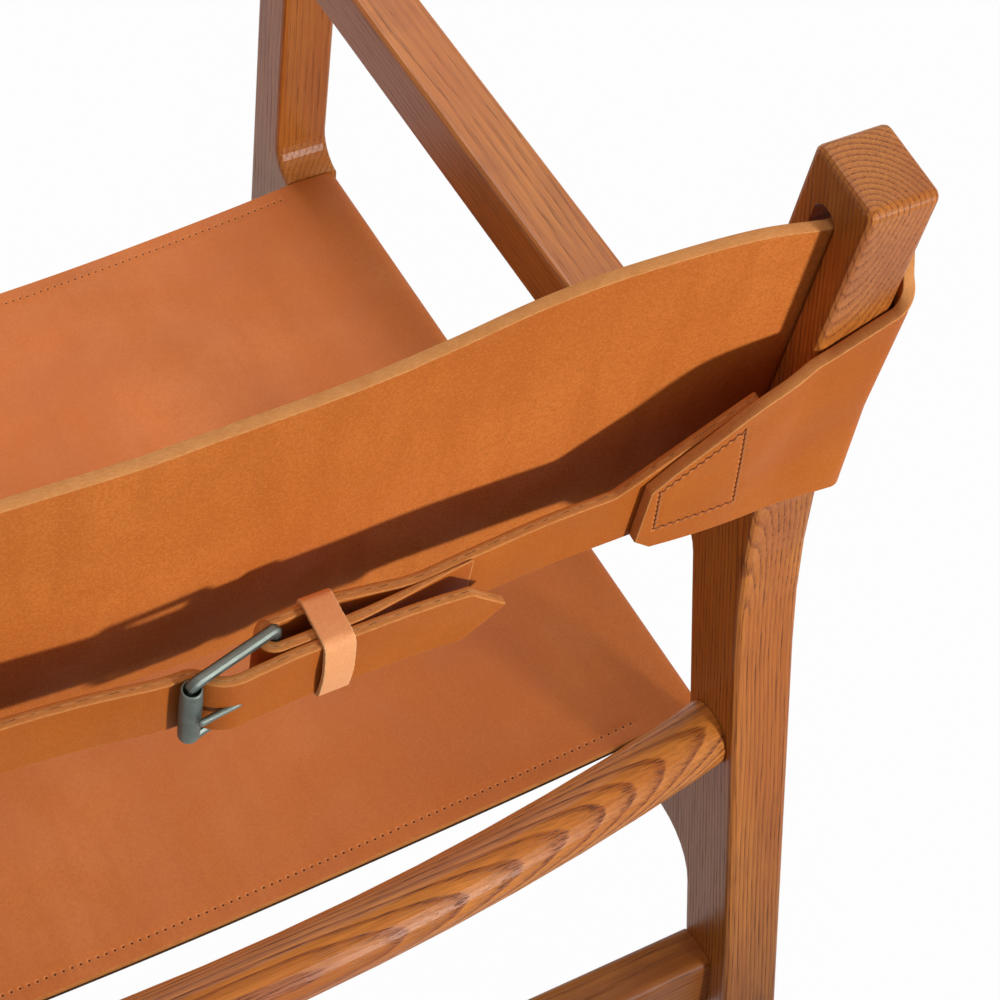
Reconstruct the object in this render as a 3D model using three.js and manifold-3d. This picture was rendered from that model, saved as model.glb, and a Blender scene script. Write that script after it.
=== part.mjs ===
// Leather sling lounge chair.
// Frame: millimetres, +Z up, the sitter faces -Y and has +X at the left hand.
// Two timber side frames carry a seat sling and a back strap that passes through slots
// in the rear posts, wraps round them and is drawn tight behind by a roller buckle.

import * as THREE from 'three';
import { mergeVertices } from 'three/addons/utils/BufferGeometryUtils.js';
import Module from 'manifold-3d';

const wasm = await Module();
wasm.setup();

// Overall sizes
const insideWidth = 612;
const timber = 37;
const clearance = 0.3;
const overrun = 20;

// Slopes, in degrees
const seatSlope = 8;
const armSlope = 8;
const rearRake = 6.4;
const frontRake = 11.3;
const recline = 15.1;
const level = 90;

// Side frames
const edgeRound = 3.5;
const postDepth = 45;
const postDatumHeight = 353;
const kneeHeight = 555;
const postTopLength = 250;
const kneeRadius = 480;
const endRound = 5;
const legDepth = 38;
const seatDatumHeight = 335;
const seatClearDepth = 536;
const armDatumHeight = 520;
const armHeight = 40;
const armNoseRound = 16;
const armFrontOverhang = 14;
const armRearStub = 32;
const rearStub = 36;
const frontStub = 18;
const upperFillet = 20;
const lowerFillet = 36;
const armFillet = 28;

// Side seat rails
const railHeight = 46;
const railInset = 1;
const railRound = 6;

// Cross rails
const rearRailDiameter = 36;
const rearRailHeight = 392;
const rearRailSetback = 16;
const rearRailBow = 34;
const stretcherDepth = 30;
const stretcherHeight = 45;
const stretcherRound = 6;
const rearStretcherTop = 217;
const frontStretcherTop = 262;
const tenonLength = 24;
const tenonThickness = 10;
const tenonShoulder = 6;
const roundTenonDiameter = 22;
const legTenonHeight = 20;
const legTenonDepth = 19;

// Joinery and feet
const dowelDiameter = 8;
const dowelLength = 40;
const glideDiameter = 24;
const glideHeight = 5;
const glideRound = 1.5;
const glidePinDiameter = 5;
const glidePinLength = 16;

// Seat leather
const seatLeather = 3;
const liningLeather = 1.6;
const liningSeam = 8;
const seatSagRear = 15;
const seatSagFront = 22;
const flapHem = 7;
const screwCount = 4;
const screwHeadDiameter = 15;
const screwHeadFlat = 10;
const screwHeadHeight = 2;
const screwShankDiameter = 4;
const screwShankLength = 18;

// Back leather
const backLeather = 6;
const panelForwardBow = 12;
const panelBottom = 26;
const slotWidth = 16;
const slotSetback = 20.5;
const slotPlay = 2;
const slotBottom = 14;
const slotTopWall = 22;
const wrapStandOff = 3;
const wrapEnd = 226;
const wrapBend = 7;
const wrapChamfer = 10;
const wrapEndDrop = 5;
const wrapBottomRise = 27;

// Straps behind the back
const strapWidth = 40;
const strapHeight = 80;
const strapLeather = 5.2;
const strapSewnEnd = 278;
const strapSewnShow = 13;
const strapStraightEnd = 178;
const strapLeavesLine = 84;
const tailLength = 149;
const tailLevelEnd = 87;
const tailLift = 2;
const foldEnd = 138;
const foldMeet = 108;
const foldReach = 90;
const foldStart = 57;
const foldRise = 4.4;
const foldEndShare = 0.6;
const strapBulge = 1.8;
const strapBulgeStart = 13.4;
const strapBulgePeak = 19.2;
const rollerTurn = 144;

// Roller buckle and keeper
const heelX = -42;
const rollerX = 1;
const heelSetback = 8.3;
const rollerSetback = 19.3;
const buckleBar = 5;
const buckleCorner = 4;
const buckleEdge = 0.8;
const buckleSidePlay = 1.2;
const rollerDiameter = 9.6;
const rollerBore = 7.8;
const tongueDiameter = 3.4;
const tongueRingOuter = 11.4;
const tongueRingBore = 7.9;
const tongueSlotHeight = 5.4;
const tongueShort = 2;
const tongueKneeBack = 22;
const tongueKneeOut = 3.2;
const tonguePlay = 2;
const holePlay = 1.3;
const loopPlay = 1.4;
const keeperX = -65;
const keeperWidth = 15;
const keeperLeather = 2.2;
const keeperRound = 3.4;
const keeperPlay = 0.4;

// How finely round shapes are cut
const arcStep = 14;
const arcFlat = 0.4;
const bevelSteps = 3;
const railSides = 16;
const pinSides = 10;
const cornerSteps = 4;
const sagSteps = 14;
const panelSteps = 12;
const loopSteps = 8;

// Values that follow from the sizes above
const radians = THREE.MathUtils.degToRad;
const inside = insideWidth / 2;
const outside = inside + timber;
const seatTop = seatLeather + clearance;
const rearTan = Math.tan(radians(rearRake));
const kneeY = -(kneeHeight - postDatumHeight) * rearTan;
const slotTop = postTopLength - slotTopWall;
const panelSetback = slotSetback + (slotWidth - backLeather) / 2 - slotPlay;

// Finishes
function finish(color, roughness, metalness) {
  return new THREE.MeshStandardMaterial({ color, roughness, metalness });
}
const ash = () => finish(0xa0602f, 0.45, 0);
const saddle = () => finish(0xc46f38, 0.55, 0);
const lining = () => finish(0x4a3222, 0.85, 0);
const paleSaddle = () => finish(0xe0996a, 0.6, 0);
const gunmetal = () => finish(0x5b645f, 0.42, 0.85);
const zinc = () => finish(0x9a9a96, 0.4, 0.9);
const beech = () => finish(0xc9a374, 0.7, 0);
const nylon = () => finish(0x2b2622, 0.6, 0);

const chair = new THREE.Group();

function addPiece(group, name, geometry, material) {
  const mesh = new THREE.Mesh(geometry, material);
  mesh.name = name;
  group.add(mesh);
  return mesh;
}

// Three places that tilted pieces are drawn in: the seat, the arms and the back
function tiltedPlace(y, z, degrees) {
  const place = new THREE.Group();
  place.position.set(0, y, z);
  place.rotation.x = -radians(degrees);
  place.updateMatrix();
  chair.add(place);
  return place;
}
const seatPlace = tiltedPlace(0, seatDatumHeight, seatSlope);
const armPlace = tiltedPlace(0, armDatumHeight, armSlope);
const backPlace = tiltedPlace(kneeY, kneeHeight, recline);

// Solids for cutting and joining
function toSolid(geometry) {
  const bare = geometry.clone();
  bare.deleteAttribute('normal');
  bare.deleteAttribute('uv');
  const merged = mergeVertices(bare);
  const mesh = new wasm.Mesh({
    numProp: 3,
    vertProperties: new Float32Array(merged.attributes.position.array),
    triVerts: new Uint32Array(merged.index.array),
  });
  return new wasm.Manifold(mesh);
}

function toGeometry(solid) {
  const mesh = solid.getMesh();
  const geometry = new THREE.BufferGeometry();
  geometry.setAttribute('position', new THREE.BufferAttribute(mesh.vertProperties, 3));
  geometry.setIndex(new THREE.BufferAttribute(mesh.triVerts, 1));
  geometry.computeVertexNormals();
  return geometry;
}

function cut(geometry, cutters) {
  let solid = toSolid(geometry);
  for (const cutter of cutters) {
    solid = solid.subtract(toSolid(cutter));
  }
  return toGeometry(solid);
}

function join(pieces) {
  let solid = toSolid(pieces[0]);
  for (const piece of pieces.slice(1)) {
    solid = solid.add(toSolid(piece));
  }
  return toGeometry(solid);
}

// Box given by its lowest and highest corners
function block(low, high) {
  const size = high.map((value, axis) => value - low[axis]);
  const geometry = new THREE.BoxGeometry(...size);
  return geometry.translate(...low.map((value, axis) => value + size[axis] / 2));
}

function rod(diameter, length, axis, centre) {
  const geometry = new THREE.CylinderGeometry(diameter / 2, diameter / 2, length, pinSides);
  if (axis === 'x') {
    geometry.rotateZ(Math.PI / 2);
  }
  if (axis === 'z') {
    geometry.rotateX(Math.PI / 2);
  }
  return geometry.translate(...centre);
}

// Arc that rounds a corner, from the unit directions to its two neighbours
function cornerArc(corner, toBefore, toAfter, radius) {
  const opening = Math.acos(THREE.MathUtils.clamp(toBefore.dot(toAfter), -1, 1));
  const turn = Math.PI - opening;
  const side = -Math.sign(toBefore.cross(toAfter));
  const bisector = toBefore.clone().add(toAfter).normalize();
  const centre = bisector.multiplyScalar(radius / Math.sin(opening / 2)).add(corner);
  const reach = radius / Math.tan(opening / 2);
  const start = toBefore.clone().multiplyScalar(reach).add(corner).sub(centre);
  const flatStep = 2 * Math.acos(Math.max(0, 1 - arcFlat / radius));
  const steps = Math.ceil(turn / Math.min(radians(arcStep), flatStep));
  const points = [];
  for (let step = 0; step <= steps; step += 1) {
    const arm = start.clone().rotateAround(new THREE.Vector2(), side * turn * step / steps);
    points.push(arm.add(centre));
  }
  return points;
}

// Closed outline from [u, v, radius] corners, each rounded by an arc
function roundedOutline(corners) {
  const count = corners.length;
  return corners.flatMap(([u, v, radius], index) => {
    const corner = new THREE.Vector2(u, v);
    if (radius === 0) {
      return [corner];
    }
    const before = new THREE.Vector2(...corners[(index + count - 1) % count]);
    const after = new THREE.Vector2(...corners[(index + 1) % count]);
    const toBefore = before.sub(corner).normalize();
    const toAfter = after.sub(corner).normalize();
    return cornerArc(corner, toBefore, toAfter, radius);
  });
}

// Turns a flat drawing and its height into the y, z plane and x
const toSideways = new THREE.Matrix4().makeBasis(
  new THREE.Vector3(0, 1, 0),
  new THREE.Vector3(0, 0, 1),
  new THREE.Vector3(1, 0, 0),
);

// Outline in the y, z plane, extruded across x from 0 to width, its long edges rounded
function acrossX(points, width, round) {
  const options = {
    depth: width - 2 * round,
    bevelEnabled: round > 0,
    bevelThickness: round,
    bevelSize: round,
    bevelOffset: -round,
    bevelSegments: bevelSteps,
  };
  const geometry = new THREE.ExtrudeGeometry(new THREE.Shape(points), options);
  return geometry.translate(0, 0, round).applyMatrix4(toSideways);
}

// Outline in the x, z plane, extruded along y from start to end
function alongY(points, start, end) {
  const options = { depth: end - start, bevelEnabled: false };
  const geometry = new THREE.ExtrudeGeometry(new THREE.Shape(points), options);
  return geometry.rotateX(Math.PI / 2).translate(0, end, 0);
}

function roundedRectangle(low, high, round) {
  return roundedOutline([
    [low[0], low[1], round],
    [high[0], low[1], round],
    [high[0], high[1], round],
    [low[0], high[1], round],
  ]);
}

// Where two lines meet, each given by a point and a direction in the y, z plane
function meet(point, direction, other, otherDirection) {
  const gap = new THREE.Vector2().subVectors(other, point);
  const share = gap.cross(otherDirection) / direction.cross(otherDirection);
  return point.clone().addScaledVector(direction, share);
}

function lineAt(y, z, degreesFromUp) {
  const angle = radians(degreesFromUp);
  return {
    point: new THREE.Vector2(y, z),
    direction: new THREE.Vector2(Math.sin(angle), Math.cos(angle)),
  };
}

function shifted(line, distance) {
  const across = new THREE.Vector2(line.direction.y, -line.direction.x);
  return { point: line.point.clone().addScaledVector(across, distance), direction: line.direction };
}

function crossing(line, other) {
  return meet(line.point, line.direction, other.point, other.direction).toArray();
}

// Lines that the side frame is drawn on, seen from the side
const floorLine = lineAt(0, glideHeight, level);
const footLine = shifted(floorLine, overrun);
const lowerFront = lineAt(0, postDatumHeight, -rearRake);
const lowerRear = shifted(lowerFront, postDepth);
const upperFront = lineAt(kneeY, kneeHeight, recline);
const upperRear = shifted(upperFront, postDepth);
const postEnd = shifted(lineAt(kneeY, kneeHeight, recline + level), -postTopLength);
const seatLine = lineAt(0, seatDatumHeight, level + seatSlope);
const stubTop = shifted(seatLine, -seatTop);
const stubBottom = shifted(seatLine, railHeight + seatTop);
const armBottom = lineAt(0, armDatumHeight, level + armSlope);
const armTop = shifted(armBottom, -armHeight);
const seatFront = new THREE.Vector2(-seatClearDepth, 0);
const legRearAtSeat = meet(
  seatLine.point,
  seatLine.direction,
  seatFront,
  new THREE.Vector2(0, 1),
);
const legRear = lineAt(legRearAtSeat.x, legRearAtSeat.y, frontRake);
const legFront = shifted(legRear, -legDepth);

// Distances along the tilted seat and arm, measured from their datum towards the front
function alongTilt(point, place) {
  const local = new THREE.Vector3(0, point[0], point[1]).applyMatrix4(
    place.matrix.clone().invert(),
  );
  return local.y;
}
const rearShoulder = alongTilt(crossing(seatLine, lowerFront), seatPlace) - rearStub;
const frontShoulder = alongTilt(crossing(seatLine, legRear), seatPlace) + frontStub;
const armShoulder = alongTilt(crossing(armBottom, lowerFront), armPlace) - armRearStub;
const armFrontEnd = alongTilt(crossing(armBottom, legFront), armPlace) - armFrontOverhang;

// Box on one side of the chair, its x counted outwards from the middle
function sideBlock(side, low, high) {
  const xs = [side * low[0], side * high[0]].sort((a, b) => a - b);
  return block([xs[0], low[1], low[2]], [xs[1], high[1], high[2]]);
}

// Dowels of the joints between the stubs and the rails or arms
const dowelShares = [0.3, 0.7];

function dowelPlaces(shoulder, height, drop, middle) {
  return dowelShares.map((share) => [middle, shoulder, drop + share * height]);
}

function dowelHoles(places, place, side) {
  return places.map(([x, y, z]) => {
    const length = dowelLength + 2 * clearance;
    const hole = rod(dowelDiameter + 2 * clearance, length, 'y', [side * x, y, z]);
    return place ? hole.applyMatrix4(place.matrix) : hole;
  });
}

const timberMiddle = inside + timber / 2;
const railOuter = outside - seatTop - railInset;
const railInner = inside + railInset;
const railMiddle = (railInner + railOuter) / 2;
const rearRailDowels = dowelPlaces(rearShoulder, railHeight, -railHeight, railMiddle);
const frontRailDowels = dowelPlaces(frontShoulder, railHeight, -railHeight, railMiddle);
const armDowels = dowelPlaces(armShoulder, armHeight, 0, timberMiddle);

// Mortises that take the tenons of the cross rails
function squareMortise(side, y, top) {
  const low = [inside - overrun, y - tenonThickness / 2 - clearance];
  low.push(top - stretcherHeight + tenonShoulder - clearance);
  const high = [inside + tenonLength + clearance, y + tenonThickness / 2 + clearance];
  high.push(top - tenonShoulder + clearance);
  return sideBlock(side, low, high);
}

const rearStretcherMiddle = crossing(
  lowerFront,
  lineAt(0, rearStretcherTop, level),
)[0] + stretcherDepth / 2;
const frontStretcherMiddle = crossing(
  legRear,
  lineAt(0, frontStretcherTop, level),
)[0] - legDepth / 2;

function roundMortise(side) {
  const depth = tenonLength + clearance;
  const length = depth + overrun;
  const centre = [side * (inside + depth - length / 2), rearRailSetback, rearRailHeight];
  return rod(roundTenonDiameter + 2 * clearance, length, 'x', centre);
}

function glideHole(side, line) {
  const foot = crossing(line, floorLine);
  return rod(
    glidePinDiameter + 2 * clearance,
    2 * (glidePinLength + clearance),
    'z',
    [side * timberMiddle, foot[0], glideHeight],
  );
}
const postFootMiddle = shifted(lowerFront, postDepth / 2);
const legFootMiddle = shifted(legFront, legDepth / 2);

// Rear post: reclined above its knee, with stubs for the seat rail and the arm
function postOutline() {
  const stubReach = rearStub + overrun;
  const rearStubEnd = shifted(lowerFront, -stubReach);
  const armStubEnd = shifted(lowerFront, -(armRearStub + overrun));
  return roundedOutline([
    [...crossing(lowerFront, footLine), 0],
    [...crossing(lowerRear, footLine), 0],
    [...crossing(lowerRear, upperRear), kneeRadius],
    [...crossing(upperRear, postEnd), endRound],
    [...crossing(upperFront, postEnd), endRound],
    [...crossing(upperFront, armTop), armFillet],
    [...crossing(armStubEnd, armTop), 0],
    [...crossing(armStubEnd, armBottom), 0],
    [...crossing(lowerFront, armBottom), armFillet],
    [...crossing(lowerFront, stubTop), upperFillet],
    [...crossing(rearStubEnd, stubTop), 0],
    [...crossing(rearStubEnd, stubBottom), 0],
    [...crossing(lowerFront, stubBottom), lowerFillet],
  ]);
}

// Everything of a side frame in front of a shoulder, as a cutter in a tilted place
function beyond(shoulder, direction, low, high, place) {
  const far = shoulder + direction * (rearStub + armRearStub + overrun);
  const ends = [shoulder, far].sort((a, b) => a - b);
  const cutter = block([-overrun, ends[0], low], [timber + overrun, ends[1], high]);
  return cutter.applyMatrix4(place.matrix);
}

function belowFeet() {
  const reach = 2 * seatClearDepth;
  return block([-overrun, -reach, -2 * overrun], [timber + overrun, reach, glideHeight]);
}

function slotCutter() {
  const shape = roundedRectangle(
    [slotSetback - slotWidth / 2, slotBottom],
    [slotSetback + slotWidth / 2, slotTop],
    slotWidth / 2 - clearance,
  );
  const geometry = acrossX(shape, timber + 2 * overrun, 0).translate(-overrun, 0, 0);
  return geometry.applyMatrix4(backPlace.matrix);
}

function sideShift(side) {
  return side > 0 ? inside : -outside;
}

const sides = [
  { side: -1, label: 'right' },
  { side: 1, label: 'left' },
];

function rearPost(side) {
  const stubHalf = railHeight + upperFillet + lowerFillet;
  const blank = cut(acrossX(postOutline(), timber, edgeRound), [
    beyond(rearShoulder, -1, -stubHalf, stubHalf, seatPlace),
    beyond(armShoulder, -1, -armHeight, 2 * armHeight, armPlace),
    slotCutter(),
    belowFeet(),
  ]).translate(sideShift(side), 0, 0);
  return cut(blank, [
    roundMortise(side),
    squareMortise(side, rearStretcherMiddle, rearStretcherTop),
    glideHole(side, postFootMiddle),
    ...dowelHoles(rearRailDowels, seatPlace, side),
    ...dowelHoles(armDowels, armPlace, side),
  ]);
}

// Front leg: raked, with a stub for the seat rail and a tenon up into the arm
function legOutline() {
  const stubEnd = shifted(legRear, frontStub + overrun);
  const top = shifted(armBottom, clearance);
  return roundedOutline([
    [...crossing(legFront, footLine), 0],
    [...crossing(legRear, footLine), 0],
    [...crossing(legRear, stubBottom), lowerFillet],
    [...crossing(stubEnd, stubBottom), 0],
    [...crossing(stubEnd, stubTop), 0],
    [...crossing(legRear, stubTop), upperFillet],
    [...crossing(legRear, shifted(top, -overrun)), 0],
    [...crossing(legFront, shifted(top, -overrun)), 0],
  ]);
}

function legTenon(play) {
  const centre = alongTilt(crossing(armBottom, shifted(legFront, legDepth / 2)), armPlace);
  const half = legTenonDepth / 2 + play;
  const thick = tenonThickness / 2 + play;
  return block(
    [-thick, centre - half, -overrun],
    [thick, centre + half, legTenonHeight + play],
  ).applyMatrix4(armPlace.matrix);
}

function frontLeg(side) {
  const stubHalf = railHeight + upperFillet + lowerFillet;
  const farFront = armFrontEnd - overrun;
  const above = block(
    [-overrun, farFront, -clearance],
    [timber + overrun, 0, armHeight + overrun],
  ).applyMatrix4(armPlace.matrix);
  const blank = cut(acrossX(legOutline(), timber, edgeRound), [
    beyond(frontShoulder, 1, -stubHalf, stubHalf, seatPlace),
    above,
    belowFeet(),
  ]).translate(sideShift(side), 0, 0);
  const tenon = legTenon(0).translate(side * timberMiddle, 0, 0);
  return cut(join([blank, tenon]), [
    squareMortise(side, frontStretcherMiddle, frontStretcherTop),
    glideHole(side, legFootMiddle),
    ...dowelHoles(frontRailDowels, seatPlace, side),
  ]);
}

// Arm, drawn in its tilted place
function arm(side) {
  const bar = roundedOutline([
    [armFrontEnd, 0, endRound],
    [armShoulder + overrun, 0, 0],
    [armShoulder + overrun, armHeight, 0],
    [armFrontEnd, armHeight, armNoseRound],
  ]);
  const spare = block(
    [-overrun, armShoulder - clearance, -overrun],
    [timber + overrun, armShoulder + 2 * overrun, armHeight + overrun],
  );
  const blank = cut(acrossX(bar, timber, edgeRound), [spare]);
  const mortise = legTenon(clearance).applyMatrix4(armPlace.matrix.clone().invert());
  return cut(blank.translate(sideShift(side), 0, 0), [
    mortise.translate(side * timberMiddle, 0, 0),
    ...dowelHoles(armDowels, null, side),
  ]);
}

// Side seat rail, drawn in the tilted seat, rebated so that the leather lies flush
const screwShares = [0.1, 0.37, 0.63, 0.9];
const railRear = rearShoulder - clearance;
const railFront = frontShoulder + clearance;

function screwPlaces(side) {
  return screwShares.slice(0, screwCount).map((share) => [
    side * railMiddle,
    THREE.MathUtils.lerp(railRear, railFront, share),
    -railHeight - seatTop,
  ]);
}

function screwHole(centre) {
  const diameter = screwShankDiameter + 2 * clearance;
  const length = 2 * (screwShankLength + seatTop + clearance);
  return rod(diameter, length, 'z', centre);
}

function sideRail(side) {
  const xs = [side * railInner, side * railOuter].sort((a, b) => a - b);
  const section = roundedRectangle([xs[0], -railHeight], [xs[1], 0], railRound);
  return cut(alongY(section, railFront, railRear), [
    ...screwPlaces(side).map(screwHole),
    ...dowelHoles(rearRailDowels, null, side),
    ...dowelHoles(frontRailDowels, null, side),
  ]);
}

// Rear rail: a round bar bowed away from the sitter, with a round tenon at each end
function rearRail() {
  const end = inside + overrun;
  const bow = rearRailBow * (end / inside) ** 2;
  const path = new THREE.QuadraticBezierCurve3(
    new THREE.Vector3(-end, rearRailBow - bow, 0),
    new THREE.Vector3(0, rearRailBow + bow, 0),
    new THREE.Vector3(end, rearRailBow - bow, 0),
  );
  const section = new THREE.Shape().absarc(0, 0, rearRailDiameter / 2, 0, 2 * Math.PI);
  const options = {
    steps: railSides,
    curveSegments: railSides,
    extrudePath: path,
    bevelEnabled: false,
  };
  const bar = new THREE.ExtrudeGeometry(section, options);
  const far = inside + 2 * rearRailDiameter;
  const wide = rearRailBow + 2 * rearRailDiameter;
  const trims = [-1, 1].map((side) => sideBlock(
    side,
    [inside - clearance, -wide, -wide],
    [far, wide, wide],
  ));
  const tenons = [-1, 1].map((side) => rod(
    roundTenonDiameter,
    2 * tenonLength,
    'x',
    [side * inside, 0, 0],
  ));
  return join([cut(bar, trims), ...tenons]).translate(0, rearRailSetback, rearRailHeight);
}

// Straight stretcher with a rectangular tenon at each end
function stretcher(y, top) {
  const half = inside - clearance;
  const section = roundedRectangle(
    [y - stretcherDepth / 2, top - stretcherHeight],
    [y + stretcherDepth / 2, top],
    stretcherRound,
  );
  const bar = acrossX(section, 2 * half, 0).translate(-half, 0, 0);
  const tenonReach = inside + tenonLength;
  const tenon = block(
    [-tenonReach, y - tenonThickness / 2, top - stretcherHeight + tenonShoulder],
    [tenonReach, y + tenonThickness / 2, top - tenonShoulder],
  );
  return join([bar, tenon]);
}

function glide() {
  const radius = glideDiameter / 2;
  const pin = glidePinDiameter / 2;
  const disc = glideHeight - clearance;
  const profile = [
    [0, 0],
    [radius - glideRound, 0],
    [radius, glideRound],
    [radius, disc],
    [pin, disc],
    [pin, glideHeight + glidePinLength],
    [0, glideHeight + glidePinLength],
  ];
  return new THREE.LatheGeometry(
    profile.map(([r, z]) => new THREE.Vector2(r, z)),
    railSides,
  ).rotateX(Math.PI / 2);
}

function slingScrew() {
  const profile = [
    [0, -screwHeadHeight],
    [screwHeadFlat / 2, -screwHeadHeight],
    [screwHeadDiameter / 2, -clearance],
    [screwShankDiameter / 2, -clearance],
    [screwShankDiameter / 2, screwShankLength],
    [0, screwShankLength],
  ];
  return new THREE.LatheGeometry(
    profile.map(([r, z]) => new THREE.Vector2(r, z)),
    pinSides,
  ).rotateX(Math.PI / 2);
}

for (const { side, label } of sides) {
  addPiece(chair, `rear_post_${label}`, rearPost(side), ash());
  addPiece(chair, `front_leg_${label}`, frontLeg(side), ash());
  addPiece(armPlace, `arm_${label}`, arm(side), ash());
  addPiece(seatPlace, `side_rail_${label}`, sideRail(side), ash());
  const joints = [
    { name: 'rear_rail', places: rearRailDowels, place: seatPlace },
    { name: 'front_rail', places: frontRailDowels, place: seatPlace },
    { name: 'arm', places: armDowels, place: armPlace },
  ];
  for (const { name, places, place } of joints) {
    places.forEach(([x, y, z], index) => {
      const row = index === 0 ? 'low' : 'high';
      const dowel = rod(dowelDiameter, dowelLength, 'y', [side * x, y, z]);
      addPiece(place, `dowel_${name}_${label}_${row}`, dowel, beech());
    });
  }
  screwPlaces(side).forEach((centre, index) => {
    const screw = slingScrew().translate(...centre);
    addPiece(seatPlace, `sling_screw_${label}_${index + 1}`, screw, zinc());
  });
  for (const [name, line] of [['rear', postFootMiddle], ['front', legFootMiddle]]) {
    const foot = crossing(line, floorLine);
    const disc = glide().translate(side * timberMiddle, foot[0], 0);
    addPiece(chair, `glide_${name}_${label}`, disc, nylon());
  }
}
addPiece(chair, 'rear_rail', rearRail(), ash());
addPiece(chair, 'rear_stretcher', stretcher(rearStretcherMiddle, rearStretcherTop), ash());
addPiece(chair, 'front_stretcher', stretcher(frontStretcherMiddle, frontStretcherTop), ash());

// A strip of leather: stations with a centre and a unit normal in a plane, a thickness, and
// the near and far edge across that plane. The map turns plane and edge into x, y, z.
function stripPositions(stations, thickness, toPoint) {
  const positions = [];
  for (const { near, far, low, high } of stations) {
    for (const [end, edge] of [[near, low], [far, high]]) {
      for (const half of [-thickness / 2, thickness / 2]) {
        const u = end.centre.x + half * end.normal.x;
        const v = end.centre.y + half * end.normal.y;
        positions.push(...toPoint(u, v, edge));
      }
    }
  }
  return positions;
}

// Faces round the strip's four long sides, then over its two ends
function stripFaces(count) {
  const section = [0, 1, 3, 2];
  const size = section.length;
  const faces = [];
  const quad = (a, b, c, d) => faces.push(a, b, c, a, c, d);
  for (let index = 0; index + 1 < count; index += 1) {
    const here = size * index;
    const next = here + size;
    section.forEach((from, at) => {
      const to = section[(at + 1) % size];
      quad(here + from, here + to, next + to, next + from);
    });
  }
  const last = size * (count - 1);
  quad(...section.slice().reverse());
  quad(...section.map((at) => last + at));
  return faces;
}

function strip(stations, thickness, toPoint) {
  const positions = stripPositions(stations, thickness, toPoint);
  const geometry = new THREE.BufferGeometry();
  geometry.setAttribute('position', new THREE.Float32BufferAttribute(positions, 3));
  geometry.setIndex(stripFaces(stations.length));
  if (signedVolume(geometry) < 0) {
    geometry.index.array.reverse();
  }
  geometry.computeVertexNormals();
  return geometry;
}

// Volume of a closed mesh, negative where its faces point in
function signedVolume(geometry) {
  const [a, b, c] = [new THREE.Vector3(), new THREE.Vector3(), new THREE.Vector3()];
  const place = geometry.attributes.position;
  const order = geometry.index.array;
  let total = 0;
  for (let index = 0; index < order.length; index += 3) {
    a.fromBufferAttribute(place, order[index]);
    b.fromBufferAttribute(place, order[index + 1]);
    c.fromBufferAttribute(place, order[index + 2]);
    total += a.dot(b.cross(c)) / 6;
  }
  return total;
}

// Centres and normals along a polyline
function along(points) {
  return points.map((point, index) => {
    const before = points[Math.max(0, index - 1)];
    const after = points[Math.min(points.length - 1, index + 1)];
    const way = new THREE.Vector2().subVectors(after, before).normalize();
    return { centre: point, normal: new THREE.Vector2(-way.y, way.x) };
  });
}

function arcPoints(centre, radius, start, end, steps) {
  const points = [];
  for (let step = 0; step <= steps; step += 1) {
    const angle = radians(THREE.MathUtils.lerp(start, end, step / steps));
    points.push(new THREE.Vector2(
      centre[0] + radius * Math.cos(angle),
      centre[1] + radius * Math.sin(angle),
    ));
  }
  return points;
}

// Seat sling: over the rails, down their outer sides and back under them
function slingHalf(sag) {
  const offset = clearance + seatLeather / 2;
  const radius = railRound + offset;
  const outerX = railOuter - railRound;
  const flap = new THREE.Vector2(railInner + flapHem, -railHeight - offset);
  const points = [flap];
  const lower = [outerX, -railHeight + railRound];
  points.push(...arcPoints(lower, radius, -level, 0, cornerSteps));
  points.push(...arcPoints([outerX, -railRound], radius, 0, level, cornerSteps));
  const edge = railInner + railRound;
  for (let step = 0; step < sagSteps; step += 1) {
    const x = edge * (1 - step / sagSteps);
    const share = 1 - (x / edge) ** 2;
    points.push(new THREE.Vector2(x, offset - sag * share));
  }
  return points;
}

function mirrored(half, middle) {
  const other = half.map((point) => new THREE.Vector2(-point.x, point.y)).reverse();
  return [...half, middle, ...other];
}

function slingPath(sag) {
  const middle = new THREE.Vector2(0, clearance + seatLeather / 2 - sag);
  return along(mirrored(slingHalf(sag), middle));
}

const slingRear = railRear - clearance;
const slingFront = railFront + clearance;
const seatMap = (x, z, y) => [x, y, z];

function seatSling() {
  const rear = slingPath(seatSagRear);
  const front = slingPath(seatSagFront);
  const stations = rear.map((near, index) => ({
    near,
    far: front[index],
    low: slingRear,
    high: slingFront,
  }));
  const holes = [-1, 1].flatMap((side) => screwPlaces(side).map(screwHole));
  return cut(strip(stations, seatLeather, seatMap), holes);
}
addPiece(seatPlace, 'seat_sling', seatSling(), saddle());

// Lining under the sling, between the rails
function liningPath(sag) {
  const edge = railInner - liningSeam;
  const full = railInner + railRound;
  const drop = clearance + liningLeather / 2;
  const points = [];
  for (let step = 0; step <= 2 * sagSteps; step += 1) {
    const x = edge * (step / sagSteps - 1);
    const share = 1 - (x / full) ** 2;
    points.push(new THREE.Vector2(x, -drop - sag * share));
  }
  return along(points);
}

function seatLining() {
  const rear = liningPath(seatSagRear);
  const front = liningPath(seatSagFront);
  const stations = rear.map((near, index) => ({
    near,
    far: front[index],
    low: slingRear,
    high: slingFront,
  }));
  return strip(stations, liningLeather, seatMap);
}
addPiece(seatPlace, 'seat_lining', seatLining(), lining());

// Back panel with its two wrap ends, drawn in the reclined back.
// Its top and bottom edges are heights above the knee at stations along the leather.
const wrapGap = strapLeather + 2 * clearance;
const wrapOuter = outside + wrapStandOff + backLeather / 2;
const rearFace = postDepth + clearance + arcFlat + backLeather / 2;
const strapOut = postDepth + clearance + strapLeather / 2;
const wrapLifted = strapOut + (strapLeather + backLeather) / 2 + clearance;

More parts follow.
